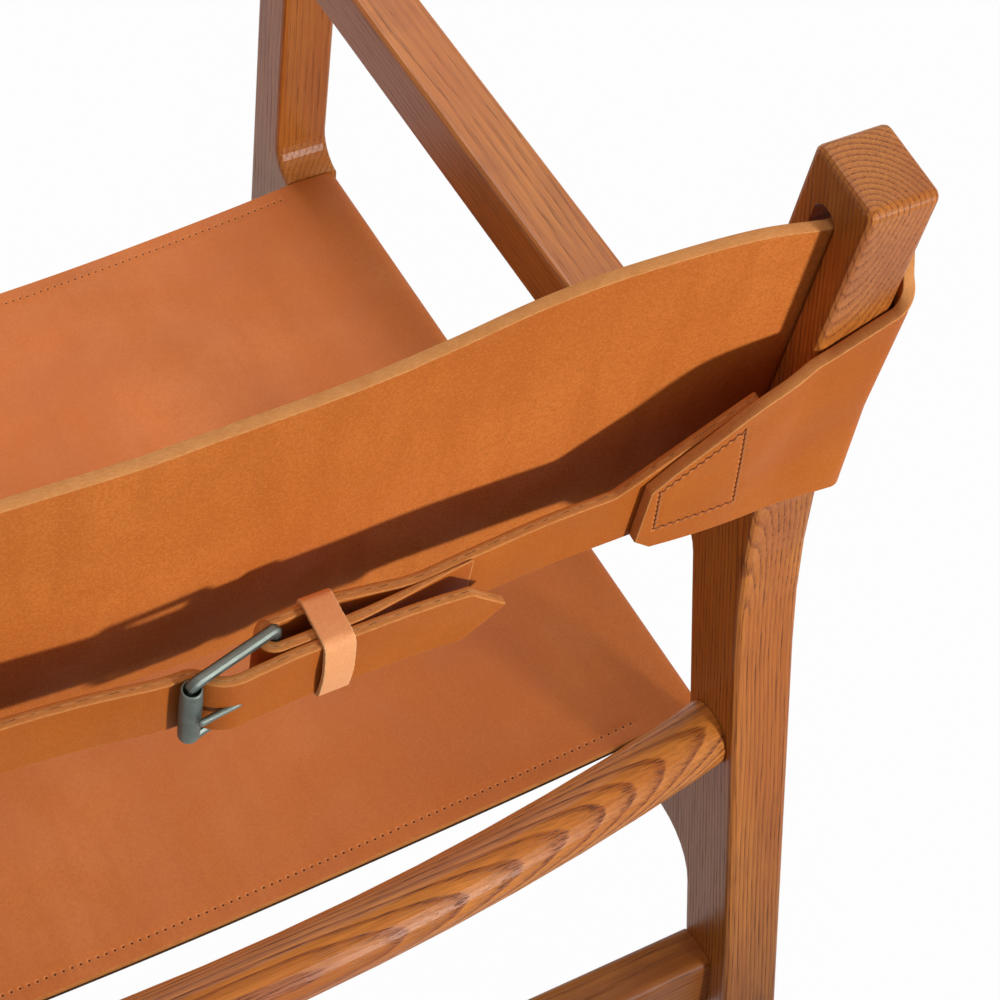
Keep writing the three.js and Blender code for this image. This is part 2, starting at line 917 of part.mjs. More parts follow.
// Shares of the half width, then of the post's length above the knee
const panelTopShares = [
  [0, 0.792],
  [0.2, 0.8],
  [0.44, 0.836],
  [0.57, 0.866],
  [0.71, 0.889],
  [0.89, 0.9],
  [1, 0.888],
];

// The wrap tapers from the full panel to its sewn end: shares of its run, then of the drop
const wrapTopShares = [
  [0, 0],
  [0.09, 0.14],
  [0.13, 0.27],
  [0.19, 0.37],
  [0.28, 0.49],
  [0.45, 0.6],
  [0.62, 0.72],
  [1, 1],
];
const wrapBottomShares = [
  [0, 0],
  [0.25, 0.55],
  [0.8, 0.82],
  [1, 1],
];

function readShares(table, share) {
  const found = table.findIndex(([at]) => at >= share);
  if (found <= 0) {
    return table[found < 0 ? table.length - 1 : 0][1];
  }
  const [fromAt, from] = table[found - 1];
  const [toAt, to] = table[found];
  return THREE.MathUtils.lerp(from, to, (share - fromAt) / (toAt - fromAt));
}

function panelStations() {
  const stations = [];
  for (let step = 0; step <= panelSteps; step += 1) {
    const share = step / panelSteps;
    const y = panelSetback - panelForwardBow * (1 - share ** 4);
    const top = postTopLength * readShares(panelTopShares, share);
    stations.push({ point: new THREE.Vector2(share * inside, y), top, bottom: panelBottom });
  }
  return stations;
}

// How far the hollow of the knee stands behind the post's upper rear face at a height
const kneeReach = (postDepth + kneeRadius) * Math.tan(radians((recline + rearRake) / 2));

function kneeBulge(z) {
  const below = Math.max(0, kneeReach - z);
  return kneeRadius - Math.sqrt(kneeRadius ** 2 - below ** 2);
}

function wrapPoints(height) {
  const bendX = wrapOuter - wrapBend;
  const rear = rearFace + kneeBulge(height);
  const points = arcPoints([bendX, panelSetback + wrapBend], wrapBend, -level, 0, cornerSteps);
  points.push(...arcPoints([bendX, rear - wrapBend], wrapBend, 0, level, cornerSteps));
  points.push(new THREE.Vector2(inside, rear));
  for (const x of [strapSewnEnd + wrapGap, wrapEnd + wrapChamfer, wrapEnd]) {
    points.push(new THREE.Vector2(x, wrapLifted));
  }
  return points;
}

function runsOf(points) {
  const runs = [0];
  for (let index = 1; index < points.length; index += 1) {
    runs.push(runs[index - 1] + points[index].distanceTo(points[index - 1]));
  }
  return runs;
}

function wrapTop(share) {
  const start = postTopLength * panelTopShares[panelTopShares.length - 1][1];
  const end = strapHeight + strapWidth / 2 - wrapEndDrop;
  return THREE.MathUtils.lerp(start, end, readShares(wrapTopShares, share));
}

function wrapStations() {
  const points = wrapPoints(kneeReach);
  const lowPoints = wrapPoints(panelBottom);
  const runs = runsOf(points);
  const whole = runs[runs.length - 1];
  const lowEnd = panelBottom + wrapBottomRise;
  return points.map((point, index) => {
    const share = runs[index] / whole;
    const rise = index === points.length - 1 ? wrapChamfer : 0;
    const climb = readShares(wrapBottomShares, share);
    const bottom = THREE.MathUtils.lerp(panelBottom, lowEnd, climb) + rise;
    return { point, lowPoint: lowPoints[index], top: wrapTop(share), bottom };
  });
}

function stripOf(stations, thickness, toPoint) {
  const path = along(stations.map(({ point }) => point));
  const lowPath = along(stations.map(({ point, lowPoint }) => lowPoint || point));
  const full = path.map((place, index) => ({
    near: lowPath[index],
    far: place,
    low: stations[index].bottom,
    high: stations[index].top,
  }));
  return strip(full, thickness, toPoint);
}
const backMap = (x, y, z) => [x, y, z];

function backPanel() {
  const half = [...panelStations(), ...wrapStations()];
  const flip = (point) => point && new THREE.Vector2(-point.x, point.y);
  const other = half.slice(1).reverse().map(({ point, lowPoint, top, bottom }) => ({
    point: flip(point),
    lowPoint: flip(lowPoint),
    top,
    bottom,
  }));
  return stripOf([...other, ...half], backLeather, backMap);
}
addPiece(backPlace, 'back_panel', backPanel(), saddle());

// Straps: drawn from their sewn end, x running from the side to the middle of the back
const strapLow = strapHeight - strapWidth / 2;
const strapHigh = strapHeight + strapWidth / 2;
const heelOut = postDepth + heelSetback;
const rollerOut = postDepth + rollerSetback;
const loopRadius = buckleBar / 2 + loopPlay + strapLeather / 2;

// The strap's sewn corner shows above the wrap's edge
function sewnTop() {
  const points = wrapPoints(kneeReach);
  const runs = runsOf(points);
  const index = points.findIndex(({ x }) => x === strapSewnEnd + wrapGap);
  return wrapTop(runs[index] / runs[runs.length - 1]) + strapSewnShow;
}

function strapStations(points, direction) {
  const high = sewnTop();
  return points.map(([x, y]) => {
    const out = THREE.MathUtils.clamp((x - wrapEnd) / (strapSewnEnd - wrapEnd), 0, 1);
    const top = THREE.MathUtils.lerp(strapHigh, high, out);
    return { point: new THREE.Vector2(direction * x, y), top, bottom: strapLow };
  });
}

// Right strap: along the back, round the heel bar and sewn to itself
function rightStrapPoints() {
  const heel = -heelX;
  const inner = heelOut - loopRadius;
  const outer = heelOut + loopRadius;
  const pair = strapLeather + clearance;
  const points = [
    [strapSewnEnd, strapOut],
    [wrapEnd, strapOut],
    [strapStraightEnd, strapOut],
    [foldEnd, strapOut + foldRise * foldEndShare],
    [foldMeet, strapOut + foldRise],
    [foldReach, inner],
  ];
  for (const arm of arcPoints([heel, heelOut], loopRadius, -level, -3 * level, loopSteps)) {
    points.push([arm.x, arm.y]);
  }
  points.push([foldStart, outer]);
  points.push([foldMeet, strapOut + foldRise + pair]);
  points.push([foldEnd, strapOut + foldRise * foldEndShare + pair]);
  return { points, inner, outer };
}

function tongueSlot() {
  const reach = loopRadius + strapLeather;
  const low = [heelX - tongueRingOuter / 2 - tonguePlay, heelOut - reach];
  const high = [heelX + reach, heelOut + reach];
  return block(
    [...low, strapHeight - tongueSlotHeight / 2],
    [...high, strapHeight + tongueSlotHeight / 2],
  );
}

function rightStrap() {
  const { points } = rightStrapPoints();
  const strap = stripOf(strapStations(points, -1), strapLeather, backMap);
  return cut(strap, [tongueSlot()]);
}
addPiece(backPlace, 'strap_right', rightStrap(), saddle());

// Left strap: under the roller, up through the frame, over the loop and through the keeper
const underRoller = rollerOut - (rollerDiameter + strapLeather) / 2 - clearance;
const overLoop = heelOut + loopRadius + strapLeather + clearance;

function leftStrapPoints() {
  const radius = rollerOut - underRoller;
  const points = [
    [strapSewnEnd, strapOut],
    [wrapEnd, strapOut],
    [strapLeavesLine, strapOut],
    [rollerX + rollerDiameter, underRoller - clearance],
  ];
  for (const arm of arcPoints([rollerX, rollerOut], radius, -level, -rollerTurn, cornerSteps)) {
    points.push([arm.x, arm.y]);
  }
  const peak = rollerX - strapBulgePeak;
  const swollen = overLoop + strapBulge;
  points.push([rollerX - strapBulgeStart, swollen - strapBulge / 2]);
  points.push([peak, swollen]);
  points.push([(peak + heelX) / 2, swollen - strapBulge / 2]);
  points.push([heelX - buckleBar, overLoop]);
  points.push([-tailLevelEnd, overLoop]);
  points.push([-tailLength + strapWidth / 2, overLoop + tailLift]);
  points.push([-tailLength, overLoop + tailLift]);
  return points;
}

// The buckle lies from its heel bar to its roller; the bent tongue rests on the roller
const buckleAngle = Math.atan2(rollerOut - heelOut, rollerX - heelX);
const buckleLength = Math.hypot(rollerOut - heelOut, rollerX - heelX);
const tongueTipOut = rollerOut + (rollerDiameter + tongueDiameter) / 2 + clearance;

function rodBetween(start, end, diameter) {
  const length = Math.hypot(end[0] - start[0], end[1] - start[1]);
  const angle = Math.atan2(end[1] - start[1], end[0] - start[0]);
  const bar = rod(diameter, length, 'x', [length / 2, 0, 0]);
  return bar.rotateZ(angle).translate(start[0], start[1], strapHeight);
}

function tonguePath(play) {
  const diameter = tongueDiameter + 2 * play;
  const knee = [rollerX - tongueKneeBack, tongueTipOut - tongueKneeOut];
  const tip = [rollerX - tongueShort, tongueTipOut];
  const lean = Math.atan2(knee[1] - heelOut, knee[0] - heelX);
  const eye = (tongueRingOuter + tongueRingBore) / 4;
  const start = [heelX + eye * Math.cos(lean), heelOut + eye * Math.sin(lean)];
  const slant = Math.atan2(tip[1] - knee[1], tip[0] - knee[0]);
  const inset = diameter / 4;
  const back = [knee[0] - inset * Math.cos(slant), knee[1] - inset * Math.sin(slant)];
  return join([rodBetween(start, knee, diameter), rodBetween(back, tip, diameter)]);
}

function tipCutter(upper) {
  const half = strapWidth / 2;
  const points = [
    [-tailLength - overrun, strapHeight],
    [-tailLength, strapHeight],
    [-tailLength + half, strapHeight + upper * half],
    [-tailLength + half, strapHeight + upper * (half + overrun)],
    [-tailLength - overrun, strapHeight + upper * (half + overrun)],
  ].map(([x, z]) => [x, z, 0]);
  const shape = roundedOutline(upper > 0 ? points : points.reverse());
  return alongY(shape, postDepth, overLoop + 2 * strapWidth);
}

function leftStrap() {
  const strap = stripOf(strapStations(leftStrapPoints(), 1), strapLeather, backMap);
  return cut(strap, [tipCutter(1), tipCutter(-1), tonguePath(holePlay)]);
}
addPiece(backPlace, 'strap_left', leftStrap(), saddle());

// Buckle: a flat frame turned about its heel bar, a roller on its far bar and a tongue
const buckleInside = strapWidth / 2 + buckleSidePlay;

function buckleFrame() {
  const half = buckleBar / 2;
  const outline = roundedRectangle(
    [-half, -buckleInside - buckleBar],
    [buckleLength + half, buckleInside + buckleBar],
    buckleCorner,
  );
  const shape = new THREE.Shape(outline);
  const opening = roundedRectangle(
    [half, -buckleInside],
    [buckleLength - half, buckleInside],
    0,
  );
  shape.holes.push(new THREE.Path(opening));
  const options = {
    depth: buckleBar - 2 * buckleEdge,
    bevelEnabled: true,
    bevelThickness: buckleEdge,
    bevelSize: buckleEdge,
    bevelOffset: -buckleEdge,
    bevelSegments: 1,
  };
  const frame = new THREE.ExtrudeGeometry(shape, options);
  frame.translate(0, 0, buckleEdge - half).rotateX(Math.PI / 2);
  return frame.rotateZ(buckleAngle).translate(heelX, heelOut, strapHeight);
}
addPiece(backPlace, 'buckle_frame', buckleFrame(), gunmetal());

function tube(outer, bore, length) {
  const profile = [
    [bore / 2, -length / 2],
    [outer / 2, -length / 2],
    [outer / 2, length / 2],
    [bore / 2, length / 2],
    [bore / 2, -length / 2],
  ];
  const points = profile.map(([r, z]) => new THREE.Vector2(r, z));
  return new THREE.LatheGeometry(points, railSides).rotateX(Math.PI / 2);
}

const roller = tube(rollerDiameter, rollerBore, 2 * (buckleInside - clearance));
roller.translate(rollerX, rollerOut, strapHeight);
addPiece(backPlace, 'buckle_roller', roller, gunmetal());

function buckleTongue() {
  const eye = tube(tongueRingOuter, tongueRingBore, tongueDiameter);
  return join([eye.translate(heelX, heelOut, strapHeight), tonguePath(0)]);
}
addPiece(backPlace, 'buckle_tongue', buckleTongue(), gunmetal());

// Keeper: a band round both straps
function keeper() {
  const { inner } = rightStrapPoints();
  const low = [inner - strapLeather / 2 - keeperPlay, strapLow - keeperPlay];
  const high = [overLoop + strapLeather / 2 + keeperPlay, strapHigh + keeperPlay];
  const shape = new THREE.Shape(roundedRectangle(
    low.map((value) => value - keeperLeather),
    high.map((value) => value + keeperLeather),
    keeperRound,
  ));
  shape.holes.push(new THREE.Path(roundedRectangle(low, high, 0)));
  const options = { depth: keeperWidth, bevelEnabled: false };
  const band = new THREE.ExtrudeGeometry(shape, options).applyMatrix4(toSideways);
  return band.translate(keeperX - keeperWidth / 2, 0, 0);
}
addPiece(backPlace, 'keeper', keeper(), paleSaddle());

// The origin is the middle of the footprint, on the floor
chair.updateMatrixWorld(true);
const bounds = new THREE.Box3().setFromObject(chair, true);
const middle = bounds.getCenter(new THREE.Vector3());
chair.position.set(-middle.x, -middle.y, -bounds.min.z);

export default chair;
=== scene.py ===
import math

import bmesh
import bpy
import numpy as np
from mathutils import Matrix, Vector
from mathutils.geometry import delaunay_2d_cdt


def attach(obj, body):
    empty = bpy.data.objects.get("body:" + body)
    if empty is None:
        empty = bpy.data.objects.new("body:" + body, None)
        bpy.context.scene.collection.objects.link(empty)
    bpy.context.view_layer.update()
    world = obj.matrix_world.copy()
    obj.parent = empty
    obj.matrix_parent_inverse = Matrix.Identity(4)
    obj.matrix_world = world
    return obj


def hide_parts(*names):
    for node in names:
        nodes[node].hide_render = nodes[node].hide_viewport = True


# Leather sling lounge chair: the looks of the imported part.
# Lengths of the drawn pieces are millimetres in the source's own places (the tilted seat and
# the reclined back), and become metres in the row's frame when a mesh is made.

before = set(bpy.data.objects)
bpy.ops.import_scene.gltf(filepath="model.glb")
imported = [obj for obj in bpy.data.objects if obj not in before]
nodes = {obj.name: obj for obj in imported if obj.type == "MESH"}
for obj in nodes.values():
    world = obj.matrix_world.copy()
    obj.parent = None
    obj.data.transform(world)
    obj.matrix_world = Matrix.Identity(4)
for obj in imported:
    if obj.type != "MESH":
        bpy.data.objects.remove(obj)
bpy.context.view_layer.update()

# Sizes that the drawn pieces share with the source
ROW_SHIFT = 285.7137
INSIDE = 306.0
OUTSIDE = 343.0
CLEARANCE = 0.3
SEAT_DATUM = (0.0, 335.0, 8.0)
BACK_DATUM = (-22.6589, 555.0, 15.1)
REAR_RAKE = 6.4
POST_DEPTH = 45.0
POST_TOP = 250.0
RAIL_HEIGHT = 46.0
RAIL_ROUND = 6.0
RAIL_INSET = 1.0
RAIL_INNER = INSIDE + RAIL_INSET
SEAT_LEATHER = 3.0
SEAT_TOP = SEAT_LEATHER + CLEARANCE
RAIL_OUTER = OUTSIDE - SEAT_TOP - RAIL_INSET
SAG_REAR, SAG_FRONT = 15.0, 22.0
LINING = 1.6
LINING_SEAM = 8.0
BACK_LEATHER = 6.0
STRAP_LEATHER = 5.2
STRAP_MIDDLE = 80.0
STRAP_WIDTH = 40.0
STRAP_LOW, STRAP_HIGH = STRAP_MIDDLE - STRAP_WIDTH / 2, STRAP_MIDDLE + STRAP_WIDTH / 2
PANEL_SETBACK = 23.5
PANEL_FORWARD_BOW = 12.0
PANEL_BOTTOM = 26.0
WRAP_BEND = 7.0
WRAP_OUTER = OUTSIDE + 3 + BACK_LEATHER / 2
WRAP_END = 226.0
WRAP_CHAMFER = 10.0
WRAP_RISE = 29.0
SEWN_END = 278.0
SEWN_TOP = 144.0
STRAP_RISES = 212.0
KNEE_RADIUS = 480.0
KNEE_REACH = (POST_DEPTH + KNEE_RADIUS) * math.tan(math.radians((BACK_DATUM[2] + REAR_RAKE) / 2))
REAR_FACE = POST_DEPTH + CLEARANCE + 0.4 + BACK_LEATHER / 2
STRAP_OUT = POST_DEPTH + CLEARANCE + STRAP_LEATHER / 2
WRAP_LIFTED = STRAP_OUT + (STRAP_LEATHER + BACK_LEATHER) / 2 + CLEARANCE
HEEL_X, HEEL_OUT = -42.0, POST_DEPTH + 8.3
ROLLER_X, ROLLER_OUT = 1.0, POST_DEPTH + 19.3
ROLLER_TURN = (9.6 + STRAP_LEATHER) / 2 + CLEARANCE
LOOP_RADIUS = 2.5 + 1.4 + STRAP_LEATHER / 2
OVER_LOOP = HEEL_OUT + LOOP_RADIUS + STRAP_LEATHER + CLEARANCE
KEEPER_LOW, KEEPER_HIGH = -72.5, -57.5
KEEPER_LEATHER = 2.2
FRONT_RAKE = 11.3

# Sizes of the cuts and of the sewing
TRIM = 0.05
WRAP_END_LOW = 63.0
SLOT_HALF = 2.7
LOOP_SLOT_PAST = 6.5
SLIT_AT, SLIT_DROP = 26.0, 4.5
TAIL_POINT = 20
SEAT_SEAM_INSET, SEAT_SEAM_REACH, SEAT_SEAM_PITCH = 10, 297, 4.8
SEAT_HOLE, PANEL_HOLE = (0.85, 1.1), (1.05, 1.15)


# Colours and node helpers

def rgb(red, green, blue):
    """A colour written as on a screen, 0 to 255, turned to Blender's linear values."""
    out = []
    for value in (red, green, blue):
        share = value / 255
        out.append(share / 12.92 if share <= 0.04045 else ((share + 0.055) / 1.055) ** 2.4)
    return (*out, 1.0)


class Nodes:
    """A short way to write a node tree."""

    def __init__(self, owner, output):
        owner.use_nodes = True
        self.tree = owner.node_tree
        self.tree.nodes.clear()
        self.output = self.tree.nodes.new(output)

    def put(self, socket, value):
        if isinstance(value, bpy.types.NodeSocket):
            self.tree.links.new(value, socket)
        else:
            socket.default_value = value

    def add(self, kind, inputs=None, **settings):
        node = self.tree.nodes.new(kind)
        for key, value in settings.items():
            setattr(node, key, value)
        for key, value in (inputs or {}).items():
            self.put(node.inputs[key], value)
        return node

    def math(self, operation, a, b=0.0, c=0.0, clamp=False):
        node = self.add("ShaderNodeMath", {0: a, 1: b, 2: c}, operation=operation)
        node.use_clamp = clamp
        return node.outputs[0]

    def times(self, a, b, clamp=False):
        return self.math("MULTIPLY", a, b, clamp=clamp)

    def plus(self, a, b):
        return self.math("ADD", a, b)

    def minus(self, a, b):
        return self.math("SUBTRACT", a, b)

    def vector(self, operation, a, b):
        return self.add("ShaderNodeVectorMath", {0: a, 1: b}, operation=operation).outputs[0]

    def noise(self, vector, scale, detail=2.0, roughness=0.5, distortion=0.0):
        inputs = {
            "Vector": vector,
            "Scale": scale,
            "Detail": detail,
            "Roughness": roughness,
            "Distortion": distortion,
        }
        return self.add("ShaderNodeTexNoise", inputs).outputs["Fac"]

    def stretched(self, vector, scales, detail, roughness):
        """Noise with its own scale each way."""
        return self.noise(self.vector("MULTIPLY", vector, scales), 1.0, detail, roughness)

    def cells(self, vector, scale):
        """Distance to the nearest border between cells."""
        inputs = {"Vector": vector, "Scale": scale}
        return self.add("ShaderNodeTexVoronoi", inputs, feature="DISTANCE_TO_EDGE").outputs["Distance"]

    def ramp(self, fac, stops):
        node = self.add("ShaderNodeValToRGB", {0: fac})
        elements = node.color_ramp.elements
        while len(elements) < len(stops):
            elements.new(0.5)
        for element, (place, colour) in zip(elements, stops):
            element.position = place
            element.color = colour
        return node.outputs[0]

    def span(self, value, low, high, to_low=0.0, to_high=1.0):
        inputs = {0: value, 1: low, 2: high, 3: to_low, 4: to_high}
        return self.add("ShaderNodeMapRange", inputs, interpolation_type="SMOOTHSTEP").outputs[0]

    def mix(self, fac, a, b):
        node = self.add("ShaderNodeMix", data_type="RGBA")
        self.put(node.inputs[0], fac)
        self.put(node.inputs[6], a)
        self.put(node.inputs[7], b)
        return node.outputs[2]

    def bump(self, height, strength, distance, normal=None):
        inputs = {"Height": height, "Strength": strength, "Distance": distance}
        if normal is not None:
            inputs["Normal"] = normal
        return self.add("ShaderNodeBump", inputs).outputs[0]

    def attribute(self, name, output="Vector"):
        return self.add("ShaderNodeAttribute", attribute_name=name).outputs[output]

    def seen(self):
        """1 for what the camera or a reflection sees, 0 for the light on the object."""
        path = self.add("ShaderNodeLightPath").outputs
        seen = self.math("ADD", path["Is Camera Ray"], path["Is Glossy Ray"])
        return self.math("ADD", seen, path["Is Transmission Ray"], clamp=True)


class Look(Nodes):
    """A material and its tree, which ends in a Principled shader."""

    def __init__(self, name):
        self.material = bpy.data.materials.new(name)
        super().__init__(self.material, "ShaderNodeOutputMaterial")
        self.shader = self.tree.nodes.new("ShaderNodeBsdfPrincipled")
        self.put(self.output.inputs[0], self.shader.outputs[0])

    def shade(self, **inputs):
        for key, value in inputs.items():
            self.put(self.shader.inputs[key.replace("_", " ")], value)


# Materials

def leather(name, tint, bright, dark, rough=0.55, grain=1.0, cloud=1.0):
    """Vegetable tanned leather: soft clouds, a fine grain, faint pull marks and small scars."""
    n = Look(name)
    flat = n.attribute("flat")
    clouds = n.noise(flat, 7.0, 3.0, 0.55, 0.4)
    patches = n.noise(flat, 26.0, 3.0, 0.5, 0.2)
    pull = n.stretched(flat, (60.0, 9.0, 60.0), 3.0, 0.6)
    speck = n.noise(flat, 900.0, 2.0, 0.65)
    fine = n.noise(flat, 2400.0, 2.0, 0.6)
    cells = n.cells(flat, 1500.0)
    tone = n.plus(n.span(clouds, 0.3, 0.7, -0.5 * cloud, 0.5 * cloud), 0.5)
    base = n.mix(tone, dark, bright)
    base = n.mix(n.span(patches, 0.35, 0.68, 0.0, 0.34 * cloud), base, tint)
    base = n.mix(n.span(pull, 0.42, 0.7, 0.0, 0.42 * grain), base, dark)
    mottle = n.noise(flat, 380.0, 3.0, 0.65)
    base = n.mix(n.span(mottle, 0.4, 0.66, 0.0, 0.34 * grain), base, dark)
    base = n.mix(n.span(speck, 0.46, 0.7, 0.0, 0.6 * grain), base, dark)
    base = n.mix(n.span(speck, 0.28, 0.52, 0.55 * grain, 0.0), base, bright)
    # Needle holes: a pale ring round each, and painted shade darkening its sunk centre
    mark = n.attribute("mark", "Fac")
    pale = n.ramp(mark, [(0.0, (0, 0, 0, 1)), (0.3, (1, 1, 1, 1)), (0.62, (0, 0, 0, 1))])
    base = n.mix(n.times(pale, 0.3), base, rgb(222, 156, 104))
    base = n.mix(n.span(mark, 0.45, 0.8), base, rgb(58, 26, 12))
    pores = n.span(cells, 0.0, 0.16)
    height = n.plus(n.times(fine, 0.5), n.times(pores, 0.5))
    height = n.plus(height, n.times(speck, 0.8))
    normal = n.bump(height, 0.34 * grain, 0.00025)
    normal = n.bump(pull, 0.25, 0.0006, normal)
    n.shade(
        Base_Color=base,
        Roughness=n.span(patches, 0.3, 0.7, rough - 0.05, rough + 0.07),
        Normal=normal,
    )
    n.shader.inputs["Specular IOR Level"].default_value = 0.12
    return n.material


def raw_edge(name, pale, dark, ply=0.0):
    """A cut edge: fibres along the cut, and where ply is set the glue line of two layers."""
    n = Look(name)
    flat = n.attribute("flat")
    fibres = n.stretched(flat, (420.0, 420.0, 2600.0), 4.0, 0.65)
    rubbed = n.noise(flat, 90.0, 3.0, 0.6)
    base = n.mix(n.span(fibres, 0.25, 0.75, 0.3, 1.0), dark, pale)
    base = n.mix(n.span(rubbed, 0.4, 0.75, 0.0, 0.4), base, dark)
    height = fibres
    if ply:
        depth = n.add("ShaderNodeSeparateXYZ", {0: flat}).outputs[2]
        wander = n.span(rubbed, 0.2, 0.8, -0.00025, 0.00025)
        off = n.math("ABSOLUTE", n.plus(depth, wander))
        line = n.span(off, ply * 0.35, ply, 1.0, 0.0)
        crack = n.span(n.noise(flat, 160.0, 2.0), 0.42, 0.6)
        base = n.mix(n.times(line, 0.45), base, rgb(222, 170, 112))
        seam = n.span(off, ply * 0.1, ply * 0.4, 1.0, 0.0)
        base = n.mix(n.times(seam, crack), base, rgb(84, 42, 20))
        height = n.minus(height, n.times(seam, 0.8))
    n.shade(Base_Color=base, Roughness=0.7, Normal=n.bump(height, 0.4, 0.0002))
    n.shader.inputs["Specular IOR Level"].default_value = 0.12
    return n.material


LEATHER = leather("saddle_grain", rgb(188, 102, 34), rgb(193, 108, 40), rgb(172, 88, 26))
PANEL_LEATHER = leather("panel_back", rgb(206, 115, 47), rgb(214, 125, 56), rgb(186, 99, 37), 0.6, 1.3)
SEAT_LOOK = leather("seat_grain", rgb(184, 100, 44), rgb(190, 107, 51), rgb(170, 88, 36), 0.5, 0.8, 0.9)
FLESH = leather("saddle_flesh", rgb(196, 106, 50), rgb(204, 118, 60), rgb(172, 90, 38), 0.72, 1.6)
PALE = leather("keeper_grain", rgb(246, 170, 112), rgb(250, 180, 124), rgb(232, 152, 98), 0.5, 0.8, 0.6)
EDGE = raw_edge("edge", rgb(190, 122, 62), rgb(158, 92, 40))
PLAIN_EDGE = raw_edge("panel_edge", rgb(216, 150, 90), rgb(184, 114, 58))
PLY_EDGE = raw_edge("edge_two_layers", rgb(210, 140, 78), rgb(176, 104, 50), 0.0007)
PALE_EDGE = raw_edge("keeper_edge", rgb(244, 208, 156), rgb(208, 148, 92))
LINING_LOOK = leather("lining", rgb(70, 44, 26), rgb(80, 52, 32), rgb(52, 32, 18), 0.8, 1.4)


def thread_material():
    n = Look("thread")
    place = n.add("ShaderNodeTexCoord").outputs["Object"]
    twist = n.noise(place, 3200.0, 2.0, 0.6)
    base = n.mix(n.span(twist, 0.3, 0.7), rgb(132, 70, 38), rgb(186, 122, 78))
    n.shade(Base_Color=base, Roughness=0.62, Normal=n.bump(twist, 0.6, 0.0002))
    n.shader.inputs["Specular IOR Level"].default_value = 0.2
    return n.material


THREAD = thread_material()

# Where a bent post's grain turns (two heights), and how its axis moves below them (slope, base)
KNEE_GRAIN = (0.58, 0.62, 0.0822, 0.0238)
# How dark a year's ring is, from its porous early wood to its dense late wood
RING = [(0.0, 0.8), (0.1, 1), (0.36, 0.3), (0.75, 0.06), (0.92, 0.0), (1.0, 0.8)]


def along_grain(n, direction, pith, bent):
    """Where a place lies in the tree: two ways across the grain from its axis, and along it."""
    place = n.add("ShaderNodeTexCoord").outputs["Object"]
    if bent:
        height = n.add("ShaderNodeSeparateXYZ", {0: place}).outputs[2]
        below = n.span(height, KNEE_GRAIN[0], KNEE_GRAIN[1], 1.0, 0.0)
        reach = n.math("MULTIPLY_ADD", height, KNEE_GRAIN[2], KNEE_GRAIN[3])
        lean = n.add("ShaderNodeCombineXYZ", {1: n.times(reach, below)}).outputs[0]
        place = n.vector("ADD", place, lean)
    offset = n.vector("SUBTRACT", place, pith)
    axis = Vector(direction).normalized()
    side = axis.orthogonal().normalized()
    parts = []
    for way in (side, axis.cross(side), axis):
        node = n.add("ShaderNodeVectorMath", {0: offset, 1: tuple(way)}, operation="DOT_PRODUCT")
        parts.append(node.outputs["Value"])
    return parts


def wood(name, direction, pith, ring=0.0042, warp=0.006, tone=0.0, figure=1.0, bent=False, seed=0.0):
    """Stained ash. direction is the grain's way and pith a point on the tree's axis, both in
    the row's frame in metres. Rings are distances from that axis, bent by a slow noise.
    figure is the strength of the rings, and in a bent timber the axis turns at the knee.
    tone is painted shade: how far the whole timber is darkened towards deep brown."""
    n = Look(name)
    parts = along_grain(n, direction, pith, bent)
    local = n.add("ShaderNodeCombineXYZ", {0: parts[0], 1: parts[1], 2: parts[2]}).outputs[0]
    local = n.vector("ADD", local, (seed, seed * 0.7, seed * 1.3))
    slow = n.stretched(local, (9.0, 9.0, 3.2), 2.0, 0.5)
    wave = n.stretched(local, (40.0, 40.0, 6.0), 3.0, 0.55)
    squares = [n.math("POWER", part, 2.0) for part in parts[:2]]
    radius = n.math("SQRT", n.plus(*squares))
    radius = n.plus(radius, n.times(slow, warp * 3))
    radius = n.plus(radius, n.times(wave, warp * 0.32))
    turns = n.math("DIVIDE", radius, ring)
    early = n.ramp(n.math("FRACT", turns), [(at, (level, level, level, 1)) for at, level in RING])
    streak = n.stretched(local, (1500.0, 1500.0, 34.0), 2.0, 0.6)
    fibre = n.stretched(local, (700.0, 700.0, 14.0), 3.0, 0.6)
    pores = n.times(n.span(streak, 0.5, 0.64), n.plus(early, 0.16), clamp=True)
    pores = n.times(pores, 0.4 + 0.6 * figure)
    light, middle, deep = rgb(206, 128, 54), rgb(136, 70, 24), rgb(72, 32, 10)
    plain = n.mix(0.5 - 0.5 * figure, light, middle)
    base = n.mix(n.times(early, 0.9 * figure), plain, middle)
    base = n.mix(n.span(fibre, 0.35, 0.72, 0.0, 0.4), base, middle)
    blotch = n.stretched(local, (30.0, 30.0, 5.0), 3.0, 0.5)
    base = n.mix(n.span(blotch, 0.38, 0.7, 0.0, 0.5), base, rgb(160, 80, 28))
    stain = n.stretched(local, (16.0, 16.0, 9.0), 4.0, 0.6)
    base = n.mix(n.span(stain, 0.52, 0.7, 0.0, 0.35), base, rgb(118, 56, 20))
    base = n.mix(n.times(pores, 0.85), base, deep)
    # painted shade: tone darkens the whole timber towards deep brown
    if tone:
        base = n.mix(tone, base, deep)
    height = n.minus(n.times(early, -0.5), n.times(pores, 1.2))
    n.shade(
        Base_Color=base,
        Roughness=n.span(pores, 0.0, 1.0, 0.36, 0.6),
        Normal=n.bump(height, 0.35, 0.0003),
    )
    n.shader.inputs["Specular IOR Level"].default_value = 0.2
    n.shader.inputs["Coat Weight"].default_value = 0.06
    n.shader.inputs["Coat Roughness"].default_value = 0.25
    return n.material


